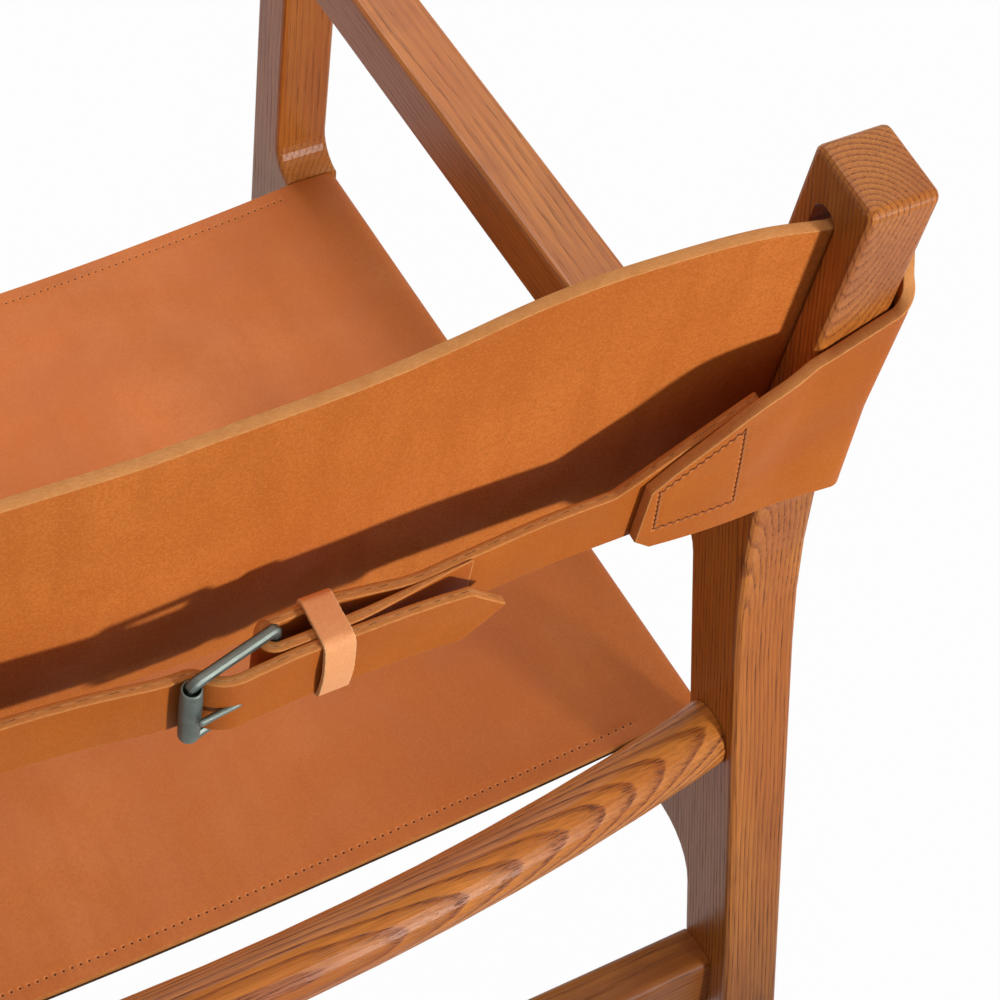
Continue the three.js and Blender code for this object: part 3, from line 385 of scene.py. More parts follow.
def metal(name, colour, worn, rough, metallic=1.0):
    """Dark plated steel, rubbed paler where it is handled."""
    n = Look(name)
    place = n.add("ShaderNodeTexCoord").outputs["Object"]
    patina = n.noise(place, 120.0, 4.0, 0.6)
    grit = n.noise(place, 2600.0, 3.0, 0.6)
    scratch = n.stretched(place, (300.0, 2400.0, 2400.0), 2.0, 0.6)
    edge = n.span(n.add("ShaderNodeNewGeometry").outputs["Pointiness"], 0.51, 0.58)
    base = n.mix(n.span(patina, 0.3, 0.7, 0.0, 0.5), colour, worn)
    base = n.mix(n.times(edge, 0.7), base, worn)
    base = n.mix(n.span(scratch, 0.6, 0.75, 0.0, 0.35), base, worn)
    n.shade(
        Base_Color=base,
        Roughness=n.span(patina, 0.3, 0.7, rough - 0.06, rough + 0.1),
        Normal=n.bump(n.plus(grit, scratch), 0.22, 0.0002),
    )
    n.shader.inputs["Metallic"].default_value = metallic
    return n.material


GUNMETAL = metal("gunmetal", rgb(84, 92, 88), rgb(122, 130, 122), 0.5, 0.8)
ZINC = metal("zinc", rgb(168, 168, 162), rgb(200, 200, 194), 0.36)


def nylon_material():
    n = Look("nylon")
    place = n.add("ShaderNodeTexCoord").outputs["Object"]
    grit = n.noise(place, 1800.0, 3.0, 0.6)
    base = n.mix(n.span(grit, 0.3, 0.7), rgb(40, 35, 31), rgb(58, 52, 46))
    n.shade(Base_Color=base, Roughness=0.55, Normal=n.bump(grit, 0.3, 0.0002))
    return n.material


NYLON = nylon_material()


# Places and paths

def placer(datum):
    """Turns points of a tilted place into the row's frame, in metres."""
    y0, z0, degrees = datum
    cos, sin = math.cos(math.radians(degrees)), math.sin(math.radians(degrees))

    def to_row(points):
        x, y, z = points[..., 0], points[..., 1], points[..., 2]
        row = [x, y0 + y * cos + z * sin + ROW_SHIFT, z0 - y * sin + z * cos]
        return np.stack(row, -1) / 1000

    return to_row


on_seat = placer(SEAT_DATUM)
on_back = placer(BACK_DATUM)


def runs_of(points):
    return np.concatenate([[0], np.cumsum(np.linalg.norm(np.diff(points, axis=0), axis=1))])


def resample(points, step):
    points = np.asarray(points, float)
    runs = runs_of(points)
    count = max(2, int(round(runs[-1] / step)) + 1)
    at = np.linspace(0, runs[-1], count)
    return np.stack([np.interp(at, runs, points[:, axis]) for axis in (0, 1)], -1)


def arc(centre, radius, start, end, step=0.8):
    turn = math.radians(end - start)
    count = max(3, int(abs(turn) * radius / step) + 1)
    angles = math.radians(start) + turn * np.linspace(0, 1, count)
    return np.stack([centre[0] + radius * np.cos(angles), centre[1] + radius * np.sin(angles)], -1)


def curve(points, per=10):
    """A smooth line through the points (centripetal)."""
    points = np.asarray(points, float)
    full = np.vstack([2 * points[0] - points[1], points, 2 * points[-1] - points[-2]])
    out = []
    for i in range(1, len(full) - 2):
        p0, p1, p2, p3 = full[i - 1 : i + 3]
        t1 = np.linalg.norm(p1 - p0) ** 0.5
        t2 = t1 + max(np.linalg.norm(p2 - p1) ** 0.5, 1e-6)
        t3 = t2 + np.linalg.norm(p3 - p2) ** 0.5
        t = np.linspace(t1, t2, per, endpoint=False)[:, None]
        a1 = (t1 - t) / t1 * p0 + t / t1 * p1
        a2 = (t2 - t) / (t2 - t1) * p1 + (t - t1) / (t2 - t1) * p2
        a3 = (t3 - t) / (t3 - t2) * p2 + (t - t2) / (t3 - t2) * p3
        b1 = (t2 - t) / t2 * a1 + t / t2 * a2
        b2 = (t3 - t) / (t3 - t1) * a2 + (t - t1) / (t3 - t1) * a3
        out.append((t2 - t) / (t2 - t1) * b1 + (t - t1) / (t2 - t1) * b2)
    out.append(points[-1:])
    return np.vstack(out)


def table(pairs):
    """A smooth reading of a table that never swings past its own values."""
    xs, ys = np.array(pairs, float).T
    gaps, slopes = np.diff(xs), np.diff(ys) / np.diff(xs)
    tangents = np.zeros(len(xs))
    for i in range(1, len(xs) - 1):
        if slopes[i - 1] * slopes[i] > 0:
            a, b = 2 * gaps[i] + gaps[i - 1], gaps[i] + 2 * gaps[i - 1]
            tangents[i] = (a + b) / (a / slopes[i - 1] + b / slopes[i])
    tangents[0], tangents[-1] = slopes[0], slopes[-1]

    def read(at):
        at = np.clip(np.asarray(at, float), xs[0], xs[-1])
        i = np.clip(np.searchsorted(xs, at) - 1, 0, len(gaps) - 1)
        t = (at - xs[i]) / gaps[i]
        return (
            (2 * t**3 - 3 * t**2 + 1) * ys[i]
            + (t**3 - 2 * t**2 + t) * gaps[i] * tangents[i]
            + (3 * t**2 - 2 * t**3) * ys[i + 1]
            + (t**3 - t**2) * gaps[i] * tangents[i + 1]
        )

    return read


class Bend:
    """Bends a flat cut to a path: u runs along it, v across it, and w out of its good side.
    near and far are the path at v = near_at and far_at; order says how plane and v make x, y, z.
    Beyond the limit the path no longer changes with v."""

    def __init__(self, near, far, near_at, far_at, order, place, ripple=None, limit=math.inf):
        self.near, self.far = np.asarray(near, float), np.asarray(far, float)
        self.near_at, self.far_at = near_at, far_at
        self.order, self.place, self.ripple, self.limit = order, place, ripple, limit
        self.taper = None
        self.u = (runs_of(self.near) + runs_of(self.far)) / 2

    def centre(self, u, v):
        share = (np.minimum(v, self.limit) - self.near_at) / (self.far_at - self.near_at)
        plane = []
        for axis in (0, 1):
            a = np.interp(u, self.u, self.near[:, axis])
            b = np.interp(u, self.u, self.far[:, axis])
            plane.append(a + (b - a) * share)
        parts = {"a": plane[0], "b": plane[1], "v": v * np.ones_like(u)}
        return np.stack([parts[key] for key in self.order], -1)

    def normal(self, u, v):
        reach = 0.6
        along = self.centre(u + reach, v) - self.centre(u - reach, v)
        across = self.centre(u, v + reach) - self.centre(u, v - reach)
        out = np.cross(along, across)
        return out / np.linalg.norm(out, axis=-1, keepdims=True)

    def point(self, u, v, w):
        u, v, w = (np.asarray(x, float) for x in (u, v, w))
        if self.taper is not None:
            w = w * self.taper(u)
        if self.ripple is not None:
            w = w + self.ripple(u, v)
        return self.place(self.centre(u, v) + self.normal(u, v) * w[..., None])


# Leather cut flat, then bent

def left_of(way):
    return np.stack([-way[:, 1], way[:, 0]], -1)


def inset(loop, distance):
    """The loop moved to its left: inwards on an outline, into the leather round a hole."""
    before = loop - np.roll(loop, 1, axis=0)
    after = np.roll(loop, -1, axis=0) - loop
    before /= np.linalg.norm(before, axis=1, keepdims=True)
    after /= np.linalg.norm(after, axis=1, keepdims=True)
    way = left_of(before) + left_of(after)
    way /= np.maximum(np.linalg.norm(way, axis=1, keepdims=True), 1e-9)
    lean = np.maximum((way * left_of(before)).sum(1, keepdims=True), 0.5)
    return loop + way * distance / lean


def clear_of(points, loops, distance):
    """The points inside the leather that stand at least distance from every edge."""
    inside = np.zeros(len(points), bool)
    near = np.full(len(points), 1e9)
    for loop in loops:
        a, b = loop, np.roll(loop, -1, axis=0)
        for start in range(0, len(points), 4000):
            p = points[start : start + 4000, None, :]
            crosses = (a[:, 1] > p[..., 1]) != (b[:, 1] > p[..., 1])
            rise = np.where(b[:, 1] == a[:, 1], 1e-12, b[:, 1] - a[:, 1])
            reach = (b[:, 0] - a[:, 0]) * (p[..., 1] - a[:, 1]) / rise + a[:, 0]
            inside[start : start + 4000] ^= (crosses & (p[..., 0] < reach)).sum(1) % 2 == 1
            d = b - a
            t = np.clip(((p - a) * d).sum(-1) / np.maximum((d * d).sum(-1), 1e-12), 0, 1)
            gap = np.linalg.norm(p - (a + t[..., None] * d), axis=-1).min(1)
            near[start : start + 4000] = np.minimum(near[start : start + 4000], gap)
    return points[inside & (near >= distance)]


def rounded(points, radius, step=0.8):
    """A closed outline with its corners rounded; radius is one value or one for each corner."""
    points = np.asarray(points, float)
    radii = np.broadcast_to(radius, len(points))
    out = []
    for i, corner in enumerate(points):
        before, after = points[i - 1] - corner, points[(i + 1) % len(points)] - corner
        lb, la = np.linalg.norm(before), np.linalg.norm(after)
        before, after = before / lb, after / la
        opening = math.acos(float(np.clip(before @ after, -1, 1)))
        reach = radii[i] / math.tan(opening / 2) if radii[i] > 0 else 0
        if reach < 1e-6:
            out.append(corner[None])
            continue
        count = max(3, int(radii[i] * (math.pi - opening) / step) + 2)
        t = np.linspace(0, 1, count)[:, None]
        a, b = corner + before * reach, corner + after * reach
        out.append((1 - t) ** 2 * a + 2 * t * (1 - t) * corner + t**2 * b)
    return np.vstack(out)


def filled(loop, step):
    """More points along the straight stretches of a loop."""
    out = []
    for a, b in zip(loop, np.roll(loop, -1, axis=0)):
        count = max(1, int(math.ceil(np.linalg.norm(b - a) / step)))
        out.append(a + (b - a) * np.arange(count)[:, None] / count)
    return np.vstack(out)


def make_mesh(name, points, faces, looks, face_looks=None, attributes=None):
    mesh = bpy.data.meshes.new(name)
    mesh.from_pydata([tuple(p) for p in points], [], faces)
    for look in looks:
        mesh.materials.append(look)
    if face_looks is not None:
        mesh.polygons.foreach_set("material_index", np.asarray(face_looks, np.int32))
    for key, values in (attributes or {}).items():
        values = np.asarray(values, np.float32)
        kind = "FLOAT_VECTOR" if values.ndim == 2 else "FLOAT"
        attribute = mesh.attributes.new(key, kind, "POINT")
        attribute.data.foreach_set("vector" if values.ndim == 2 else "value", values.ravel())
    mesh.shade_smooth()
    mesh.validate()
    mesh.update()
    made = bpy.data.objects.new(name, mesh)
    bpy.context.scene.collection.objects.link(made)
    return made


def needle_rings(marks):
    """Points of the needle holes (u, v, radius, depth), how dark each is painted (shade in the sunk
    hole), and how high it stands.
    """
    places, values, heights = [], [], []
    for u, v, radius, depth in marks:
        places.append((u, v))
        values.append(1.0)
        heights.append(-depth)
        for reach, count, value, sink in ((1.0, 7, 0.5, 0.4), (2.1, 9, 0.0, -0.06)):
            for k in range(count):
                a = 2 * math.pi * (k + 0.5 * (reach > 1)) / count
                places.append((u + radius * reach * math.cos(a), v + radius * reach * math.sin(a)))
                values.append(value)
                heights.append(-depth * sink)
    return np.array(places), values, heights


def clear_of_marks(points, marks):
    """The points that leave each needle hole its own room."""
    centres = np.array([mark[:2] for mark in marks])
    reach = 2.6 * max(mark[2] for mark in marks)
    keep = np.ones(len(points), bool)
    for start in range(0, len(points), 2000):
        part = points[start : start + 2000, None, :] - centres
        keep[start : start + 2000] = np.linalg.norm(part, axis=-1).min(1) > reach
    return points[keep]


def anticlockwise(flat, face):
    a, b, c = (flat[i] for i in face[:3])
    turn = (b[0] - a[0]) * (c[1] - a[1]) - (b[1] - a[1]) * (c[0] - a[0])
    return list(face)[::-1] if turn < 0 else list(face)


def triangulate(skins, inner):
    """The flat points, where each given point ended up among them, and the triangles."""
    every = np.vstack([*skins, inner])
    edges, base = [], 0
    for loop in skins:
        size = len(loop)
        edges += [(base + i, base + (i + 1) % size) for i in range(size)]
        base += size
    found = delaunay_2d_cdt([Vector(p) for p in every], edges, [], 4, 1e-4)
    flat = np.array([tuple(p) for p in found[0]])
    where = np.full(len(every), -1)
    for new, olds in enumerate(found[3]):
        for old in olds:
            where[old] = new
    return flat, where, [anticlockwise(flat, face) for face in found[2]]


def rim_rings(loop, half, rim, rough, rng):
    """Rings round a cut edge from the back to the good side, as places and heights."""
    for side, angles in ((-1, (-60, -30, 0)), (1, (0, 30, 60))):
        for a in np.radians(angles):
            ring = inset(loop, rim * (1 - math.cos(a)))
            ring = ring + rough * rng.normal(size=ring.shape)
            level = side * (half - rim) + rim * math.sin(a)
            yield ring, np.full(len(loop), level) + rough * 0.5 * rng.normal(size=len(loop))


def cut_piece(name, outline, bend, thickness, looks, grid, holes=(), marks=(), rim=0.8, rough=0.0):
    """Cuts outline (anticlockwise) and holes (clockwise) from leather and bends it.
    looks are the good side, the cut edge and the back; grid the u and v values of inner points;
    marks are needle holes as (u, v, radius, depth)."""
    loops = [np.asarray(loop, float) for loop in (outline, *holes)]
    uu, vv = np.meshgrid(*grid)
    inner = [clear_of(np.stack([uu.ravel(), vv.ravel()], -1), loops, rim + 1.6)]
    inner.append(clear_of(np.vstack([inset(loop, rim + 0.8) for loop in loops]), loops, rim + 0.6))
    inner = np.vstack(inner)
    if marks:
        places, values, heights = needle_rings(marks)
        inner = np.vstack([clear_of_marks(inner, marks), places])
    flat, where, triangles = triangulate([inset(loop, rim) for loop in loops], inner)
    total, half = len(flat), thickness / 2
    lift, mark = np.zeros(total), np.zeros(total)
    if marks:
        holed = where[-len(places) :]
        lift[holed], mark[holed] = heights, values
    faces, kinds = [], []
    for face in triangles:
        faces += [face, [total + i for i in reversed(face)]]
        kinds += [0, 2]
    points = [np.column_stack([flat, half + lift, mark])]
    points.append(np.column_stack([flat, np.full(total, -half), np.zeros(total)]))
    at, base = 2 * total, 0
    rng = np.random.default_rng(7)
    for loop in loops:
        size = len(loop)
        upper = where[base : base + size]
        stack = [total + upper]
        for ring, height in rim_rings(loop, half, rim, rough, rng):
            points.append(np.column_stack([ring, height, np.zeros(size)]))
            stack.append(np.arange(at, at + size))
            at += size
        for low, high in zip(stack, [*stack[1:], upper]):
            faces += np.stack([low, np.roll(low, -1), np.roll(high, -1), high], -1).tolist()
            kinds += [1] * size
        base += size
    u, v, w, mark = np.vstack(points).T
    attributes = {"flat": np.stack([u, v, w], -1) / 1000, "mark": mark}
    return make_mesh(name, bend.point(u, v, w), faces, looks, kinds, attributes)


def quads(count, sides, closed=True):
    """Faces between rings of points; closed joins the last ring to the first."""
    faces = []
    for i in range(count if closed else count - 1):
        low, high = i * sides, (i + 1) % count * sides
        for k in range(sides):
            after = (k + 1) % sides
            faces.append([low + k, low + after, high + after, high + k])
    return faces


def tube(line, radii, sides, closed=False):
    """A round bar along a line of row points; radii is one (wide, high) pair or one for each."""
    line = np.asarray(line, float)
    radii = np.broadcast_to(radii, (len(line), 2))
    points, count = [], len(line)
    up = np.array([0.0, 0.0, 1.0])
    for i, p in enumerate(line):
        if closed:
            way = line[(i + 1) % count] - line[i - 1]
        else:
            way = line[min(i + 1, count - 1)] - line[max(i - 1, 0)]
        way /= np.linalg.norm(way)
        if abs(way @ up) > 0.98:
            up = np.array([0.0, 1.0, 0.0])
        side = np.cross(way, up)
        side /= np.linalg.norm(side)
        top = np.cross(side, way)
        for k in range(sides):
            a = 2 * math.pi * k / sides
            points.append(p + side * radii[i, 0] * math.cos(a) + top * radii[i, 1] * math.sin(a))
    faces = quads(count, sides, closed)
    if not closed:
        faces.append(list(range(sides))[::-1])
        faces.append([(count - 1) * sides + k for k in range(sides)])
    return points, faces


def many(name, parts, look):
    """One object from many (points, faces) parts."""
    points, faces = [], []
    for some, own in parts:
        base = len(points)
        points += [tuple(p) for p in some]
        faces += [[base + i for i in face] for face in own]
    made = make_mesh(name, points, faces, [look])
    fix_normals(made)
    return made


def fix_normals(obj):
    bm = bmesh.new()
    bm.from_mesh(obj.data)
    bmesh.ops.recalc_face_normals(bm, faces=bm.faces)
    bm.to_mesh(obj.data)
    bm.free()


def stitches(name, bend, line, lift, gap=0.22, thick=0.46):
    """Thread along needle holes given as (u, v): a short hump from each hole to the next."""
    parts = []
    for a, b in zip(line, line[1:]):
        share = np.array([gap, gap + 0.07, 0.36, 0.5, 0.64, 0.93 - gap, 1 - gap])
        span = a + (b - a) * share[:, None]
        height = lift + np.array([-0.7, -0.05, 0.24, 0.32, 0.24, -0.05, -0.7])
        row = bend.point(span[:, 0], span[:, 1], height)
        parts.append(tube(row, (thick / 1000, thick / 1000), 6))
    return many(name, parts, THREAD)


# Seat sling and lining

def seat_ends():
    """Front and rear ends of the sling along the tilted seat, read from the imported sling."""
    y0, z0, degrees = SEAT_DATUM
    cos, sin = math.cos(math.radians(degrees)), math.sin(math.radians(degrees))
    co = np.array([v.co for v in nodes["seat_sling"].data.vertices], float) * 1000
    y, z = co[:, 1] - ROW_SHIFT - y0, co[:, 2] - z0
    local = y * cos - z * sin
    return local.min(), local.max()


SEAT_FRONT, SEAT_REAR = seat_ends()


def sling_path(sag):
    """The sling across the chair at one depth, from flap to flap."""
    offset = CLEARANCE + SEAT_LEATHER / 2
    radius = RAIL_ROUND + offset
    outer = RAIL_OUTER - RAIL_ROUND
    edge = RAIL_INNER + RAIL_ROUND
    half = [np.array([[RAIL_INNER + 7, -RAIL_HEIGHT - offset]])]
    half.append(arc((outer, -RAIL_HEIGHT + RAIL_ROUND), radius, -90, 0))
    half.append(arc((outer, -RAIL_ROUND), radius, 0, 90))
    xs = np.linspace(edge, 0, 90)[:-1]
    half.append(np.stack([xs, offset - sag * (1 - (xs / edge) ** 2)], -1))
    half = np.vstack(half)
    left = half * (-1, 1)
    middle = np.array([[0, offset - sag]])
    return np.vstack([left, middle, half[::-1]])


def seat_cut(path, step):
    """A bend across the seat, u counted from its middle, and a rectangle with soft corners."""
    bend = Bend(path(SAG_FRONT), path(SAG_REAR), SEAT_FRONT, SEAT_REAR, "avb", on_seat, seat_ripple)
    bend.u -= bend.u[-1] / 2
    end, low, high = bend.u[-1], SEAT_FRONT + TRIM, SEAT_REAR - TRIM
    outline = filled(rounded([(-end, low), (end, low), (end, high), (-end, high)], 3.0), step)
    return bend, outline, end, low, high


def seat_sling():
    bend, outline, end, low, high = seat_cut(sling_path, 1.5)
    us = np.unique(np.concatenate([np.linspace(-end, end, 150), bend.u[np.abs(bend.u) > 300][::2]]))
    seam = np.arange(-SEAT_SEAM_REACH, SEAT_SEAM_REACH + 0.1, SEAT_SEAM_PITCH)
    marks = [(u, v, *SEAT_HOLE) for v in (high - SEAT_SEAM_INSET, low + SEAT_SEAM_INSET) for u in seam]
    vs = np.linspace(low, high, 60)
    looks = [SEAT_LOOK, EDGE, FLESH]
    made = cut_piece("seat_leather", outline, bend, SEAT_LEATHER, looks, (us, vs), marks=marks, rim=0.7)
    return made, 2 * end, high - low


def seat_ripple(u, v):
    """Faint hollows of use, none near the edges."""
    across = np.clip(1 - (u / 300) ** 2, 0, 1)
    return across * (0.5 * np.sin(u / 61 + 1.3) * np.sin(v / 83) + 0.3 * np.sin(u / 37 + v / 51))


def seat_lining():
    edge = RAIL_INNER - LINING_SEAM

    def path(sag):
        xs = np.linspace(-edge, edge, 121)
        full = RAIL_INNER + RAIL_ROUND
        return np.stack([xs, -CLEARANCE - LINING / 2 - sag * (1 - (xs / full) ** 2)], -1)

    bend, outline, end, low, high = seat_cut(path, 3)
    looks = [LINING_LOOK, LINING_LOOK, LINING_LOOK]
    grid = (np.linspace(-end, end, 80), np.linspace(low, high, 40))
    made = cut_piece("seat_lining_skin", outline, bend, LINING, looks, grid, rim=0.3)
    return made, 2 * end, high - low


# Back panel with its wraps

# Edges as tables: a share of the way along, and the height as a share
PANEL_TOP = table(
    [(0, 0.792), (0.2, 0.8), (0.44, 0.836), (0.57, 0.866), (0.71, 0.889), (0.89, 0.9), (1, 0.888)]
)
WRAP_TOP = table(
    [(0, 0), (0.09, 0.14), (0.13, 0.27), (0.196, 0.373), (0.248, 0.447), (0.302, 0.498)]
    + [(0.375, 0.53), (0.462, 0.558), (0.55, 0.582), (0.625, 0.607), (0.693, 0.653)]
    + [(0.747, 0.708), (0.8, 0.77), (0.86, 0.837), (0.92, 0.903), (1, 1)]
)
WRAP_BOTTOM = table([(0, 0), (0.25, 0.55), (0.8, 0.82), (1, 1)])


def knee_bulge(z):
    below = max(0.0, KNEE_REACH - z)
    return KNEE_RADIUS - math.sqrt(KNEE_RADIUS**2 - below**2)


def wrap_path(height):
    bend_x = WRAP_OUTER - WRAP_BEND
    rear = REAR_FACE + knee_bulge(height)
    sewn = SEWN_END + STRAP_LEATHER + 2 * CLEARANCE
    lifted = [(x, WRAP_LIFTED) for x in (sewn, WRAP_END + WRAP_CHAMFER, WRAP_END)]
    leaves = (INSIDE - 2, rear + (WRAP_LIFTED - rear) * 0.12)
    first = arc((bend_x, PANEL_SETBACK + WRAP_BEND), WRAP_BEND, -90, 0)
    second = arc((bend_x, rear - WRAP_BEND), WRAP_BEND, 0, 90)
    corner = np.vstack([first, second, [(INSIDE + 6, rear), leaves]])
    tail = curve([leaves, *lifted], 12)
    return corner, tail[1:]


def panel_half(height):
    xs = np.linspace(0, INSIDE, 150)
    flat = np.stack([xs, PANEL_SETBACK - PANEL_FORWARD_BOW * (1 - (xs / INSIDE) ** 4)], -1)
    corner, tail = wrap_path(height)
    return flat, np.vstack([corner, tail])


def back_panel():
    flat_low, wrap_low = panel_half(PANEL_BOTTOM)
    flat_high, wrap_high = panel_half(KNEE_REACH)
    low, high = np.vstack([flat_low, wrap_low]), np.vstack([flat_high, wrap_high])
    whole_low = np.vstack([(low * (-1, 1))[::-1][:-1], low])
    whole_high = np.vstack([(high * (-1, 1))[::-1][:-1], high])
    # above the knee's reach the post is straight
    heights = (PANEL_BOTTOM, KNEE_REACH)
    bend = Bend(whole_low, whole_high, *heights, "abv", on_back, panel_ripple, KNEE_REACH)
    bend.u -= bend.u[-1] / 2
    end = bend.u[-1]
    half_u = bend.u[len(low) - 1 :]
    wrap_runs = runs_of(wrap_high)
    share_flat = flat_high[:, 0] / INSIDE
    share_wrap = wrap_runs / wrap_runs[-1]
    slot_top, end_top = POST_TOP * float(PANEL_TOP(1)), STRAP_HIGH + 4
    wrap_top = slot_top + (end_top - slot_top) * WRAP_TOP(share_wrap)
    top = np.concatenate([POST_TOP * PANEL_TOP(share_flat), wrap_top])
    drop = np.concatenate([np.zeros(len(flat_low)), WRAP_BOTTOM(share_wrap)])
    bottom = PANEL_BOTTOM + WRAP_RISE * drop
    stop = end - TRIM
    side = np.linspace(280, stop, 90)
    us = np.unique(np.concatenate([np.linspace(-280, 280, 141), side, -side]))
    lower = np.stack([us, np.interp(np.abs(us), half_u, bottom)], -1)
    upper = np.stack([us, np.interp(np.abs(us), half_u, top)], -1)[::-1]
    # the chamfer at the lower corner of each sewn end
    lower[0], lower[-1] = (-stop, WRAP_END_LOW), (stop, WRAP_END_LOW)
    inner = np.abs(lower[:, 0]) < stop - 9
    inner[0] = inner[-1] = True
    outline = filled(np.vstack([lower[inner], upper]), 2.5)
    vs = np.linspace(26, 246, 45)
    looks = [LEATHER, PLAIN_EDGE, PANEL_LEATHER]
    holes = needle_holes(bend)
    made = cut_piece("back_leather", outline, bend, BACK_LEATHER, looks, (us, vs), marks=holes, rim=0.7)
    return made, bend, top, bottom, half_u


# Corners of the box of stitches that holds each strap to its wrap: x and height
SEAM_CORNERS = [(231.0, 102.5), (268.4, 133.0), (278.9, 67.7), (235.0, 69.5)]
SEAM_PITCH = 4.3


def seam_lines(bend):
    """Both boxes of stitches as closed lines on the flat panel, one needle hole to a point."""
    last = int(np.argmin(np.abs(bend.u)))
    rear = bend.far[last:]
    turn = int(np.argmax(rear[:, 0]))
    rear_x, rear_u = rear[turn:, 0], bend.u[last:][turn:]
    lines = []
    for side in (1, -1):
        corners = [(side * float(np.interp(-x, -rear_x, rear_u)), z) for x, z in SEAM_CORNERS]
        points = []
        for a, b in zip(corners, corners[1:] + corners[:1]):
            a, b = np.array(a), np.array(b)
            count = max(1, int(round(np.linalg.norm(b - a) / SEAM_PITCH)))
            points += [a + (b - a) * k / count for k in range(count)]
        lines.append(np.array([*points, points[0]]))
    return lines


def needle_holes(bend):
    return [(*point, *PANEL_HOLE) for line in seam_lines(bend) for point in line[:-1]]


def panel_ripple(u, v):
    """Slow waves of the hanging leather, and its slack belly behind the buckle."""
    free = np.clip(1 - (u / 300) ** 2, 0, 1) ** 0.7
    low = np.clip((175 - v) / 70, 0, 1) ** 2 * np.clip((v - 20) / 30, 0, 1)
    belly = 6.0 * np.exp(-(((u - 5) / 62) ** 2)) * low
    waves = 0.7 * np.sin(u / 43 + 0.6) + 0.45 * np.sin(u / 19 + v / 47) + 0.3 * np.sin(v / 31 - u / 90)
    return free * waves - belly


# Straps and keeper

def right_strap():
    """Along the back, round the heel bar and back along itself."""
    inner, outer = HEEL_OUT - LOOP_RADIUS, HEEL_OUT + LOOP_RADIUS
    meet, laid = STRAP_OUT + 4.4, STRAP_LEATHER / 2 + CLEARANCE
    there = [
        (-SEWN_END, STRAP_OUT),
        (-WRAP_END, STRAP_OUT),
        (-178, STRAP_OUT),
        (-138, STRAP_OUT + 2.2),
        (-108, meet - 0.4),
        (-90, inner + 2.6),
        (-70, inner),
        (-57, inner),
    ]
    loop = arc((HEEL_X, HEEL_OUT), LOOP_RADIUS, -90, 90)
    home = [
        (HEEL_X, outer),
        (-57, outer),
        (-80, meet + 2 * laid + 1.0),
        (-100, meet + laid + 1.9),
        (-120, STRAP_OUT + 3.3 + laid + 0.9),
        (-138, STRAP_OUT + 2.2 + laid + 0.4),
    ]
    path = np.vstack([curve(there, 14), loop[1:], curve(home, 14)[1:]])
    bend = Bend(path, path, STRAP_LOW, STRAP_HIGH, "abv", on_back)
    end = bend.u[-1]
    bend.taper = lambda u: np.interp(u, [end - 60, end - 38, end], [1.0, 0.7, 0.12])
    x_at = path[:, 0]
    turn = int(np.argmax(x_at))
    rise_u = bend.u[np.argmin(np.abs(x_at[:turn] + STRAP_RISES))]
    low, high, stop = STRAP_LOW, STRAP_HIGH, end - TRIM
    outline = [(TRIM, low), (stop, low), (stop, high), (rise_u, high), (TRIM, SEWN_TOP)]
    outline = filled(rounded(outline, [2, 3, 3, 8, 2]), 1.4)
    first = len(curve(there, 14)) - 1
    arc_start, arc_end = bend.u[first], bend.u[first + len(loop) - 1]
    slot_start, slot_end = arc_start + 1, arc_end + LOOP_SLOT_PAST
    slot_low, slot_high = STRAP_MIDDLE - SLOT_HALF, STRAP_MIDDLE + SLOT_HALF
    hole = [(slot_start, slot_low), (slot_start, slot_high), (slot_end, slot_high), (slot_end, slot_low)]
    hole = filled(rounded(hole, 2.4), 1.4)
    us = [np.linspace(0, end, 150), np.linspace(arc_start - 6, arc_end + 6, 60)]
    us = np.unique(np.concatenate(us))
    vs = np.linspace(low + 2, SEWN_TOP, 26)
    looks = [LEATHER, PLY_EDGE, LEATHER]
    made = cut_piece("strap_right_leather", outline, bend, STRAP_LEATHER, looks, (us, vs), [hole])
    return made, end


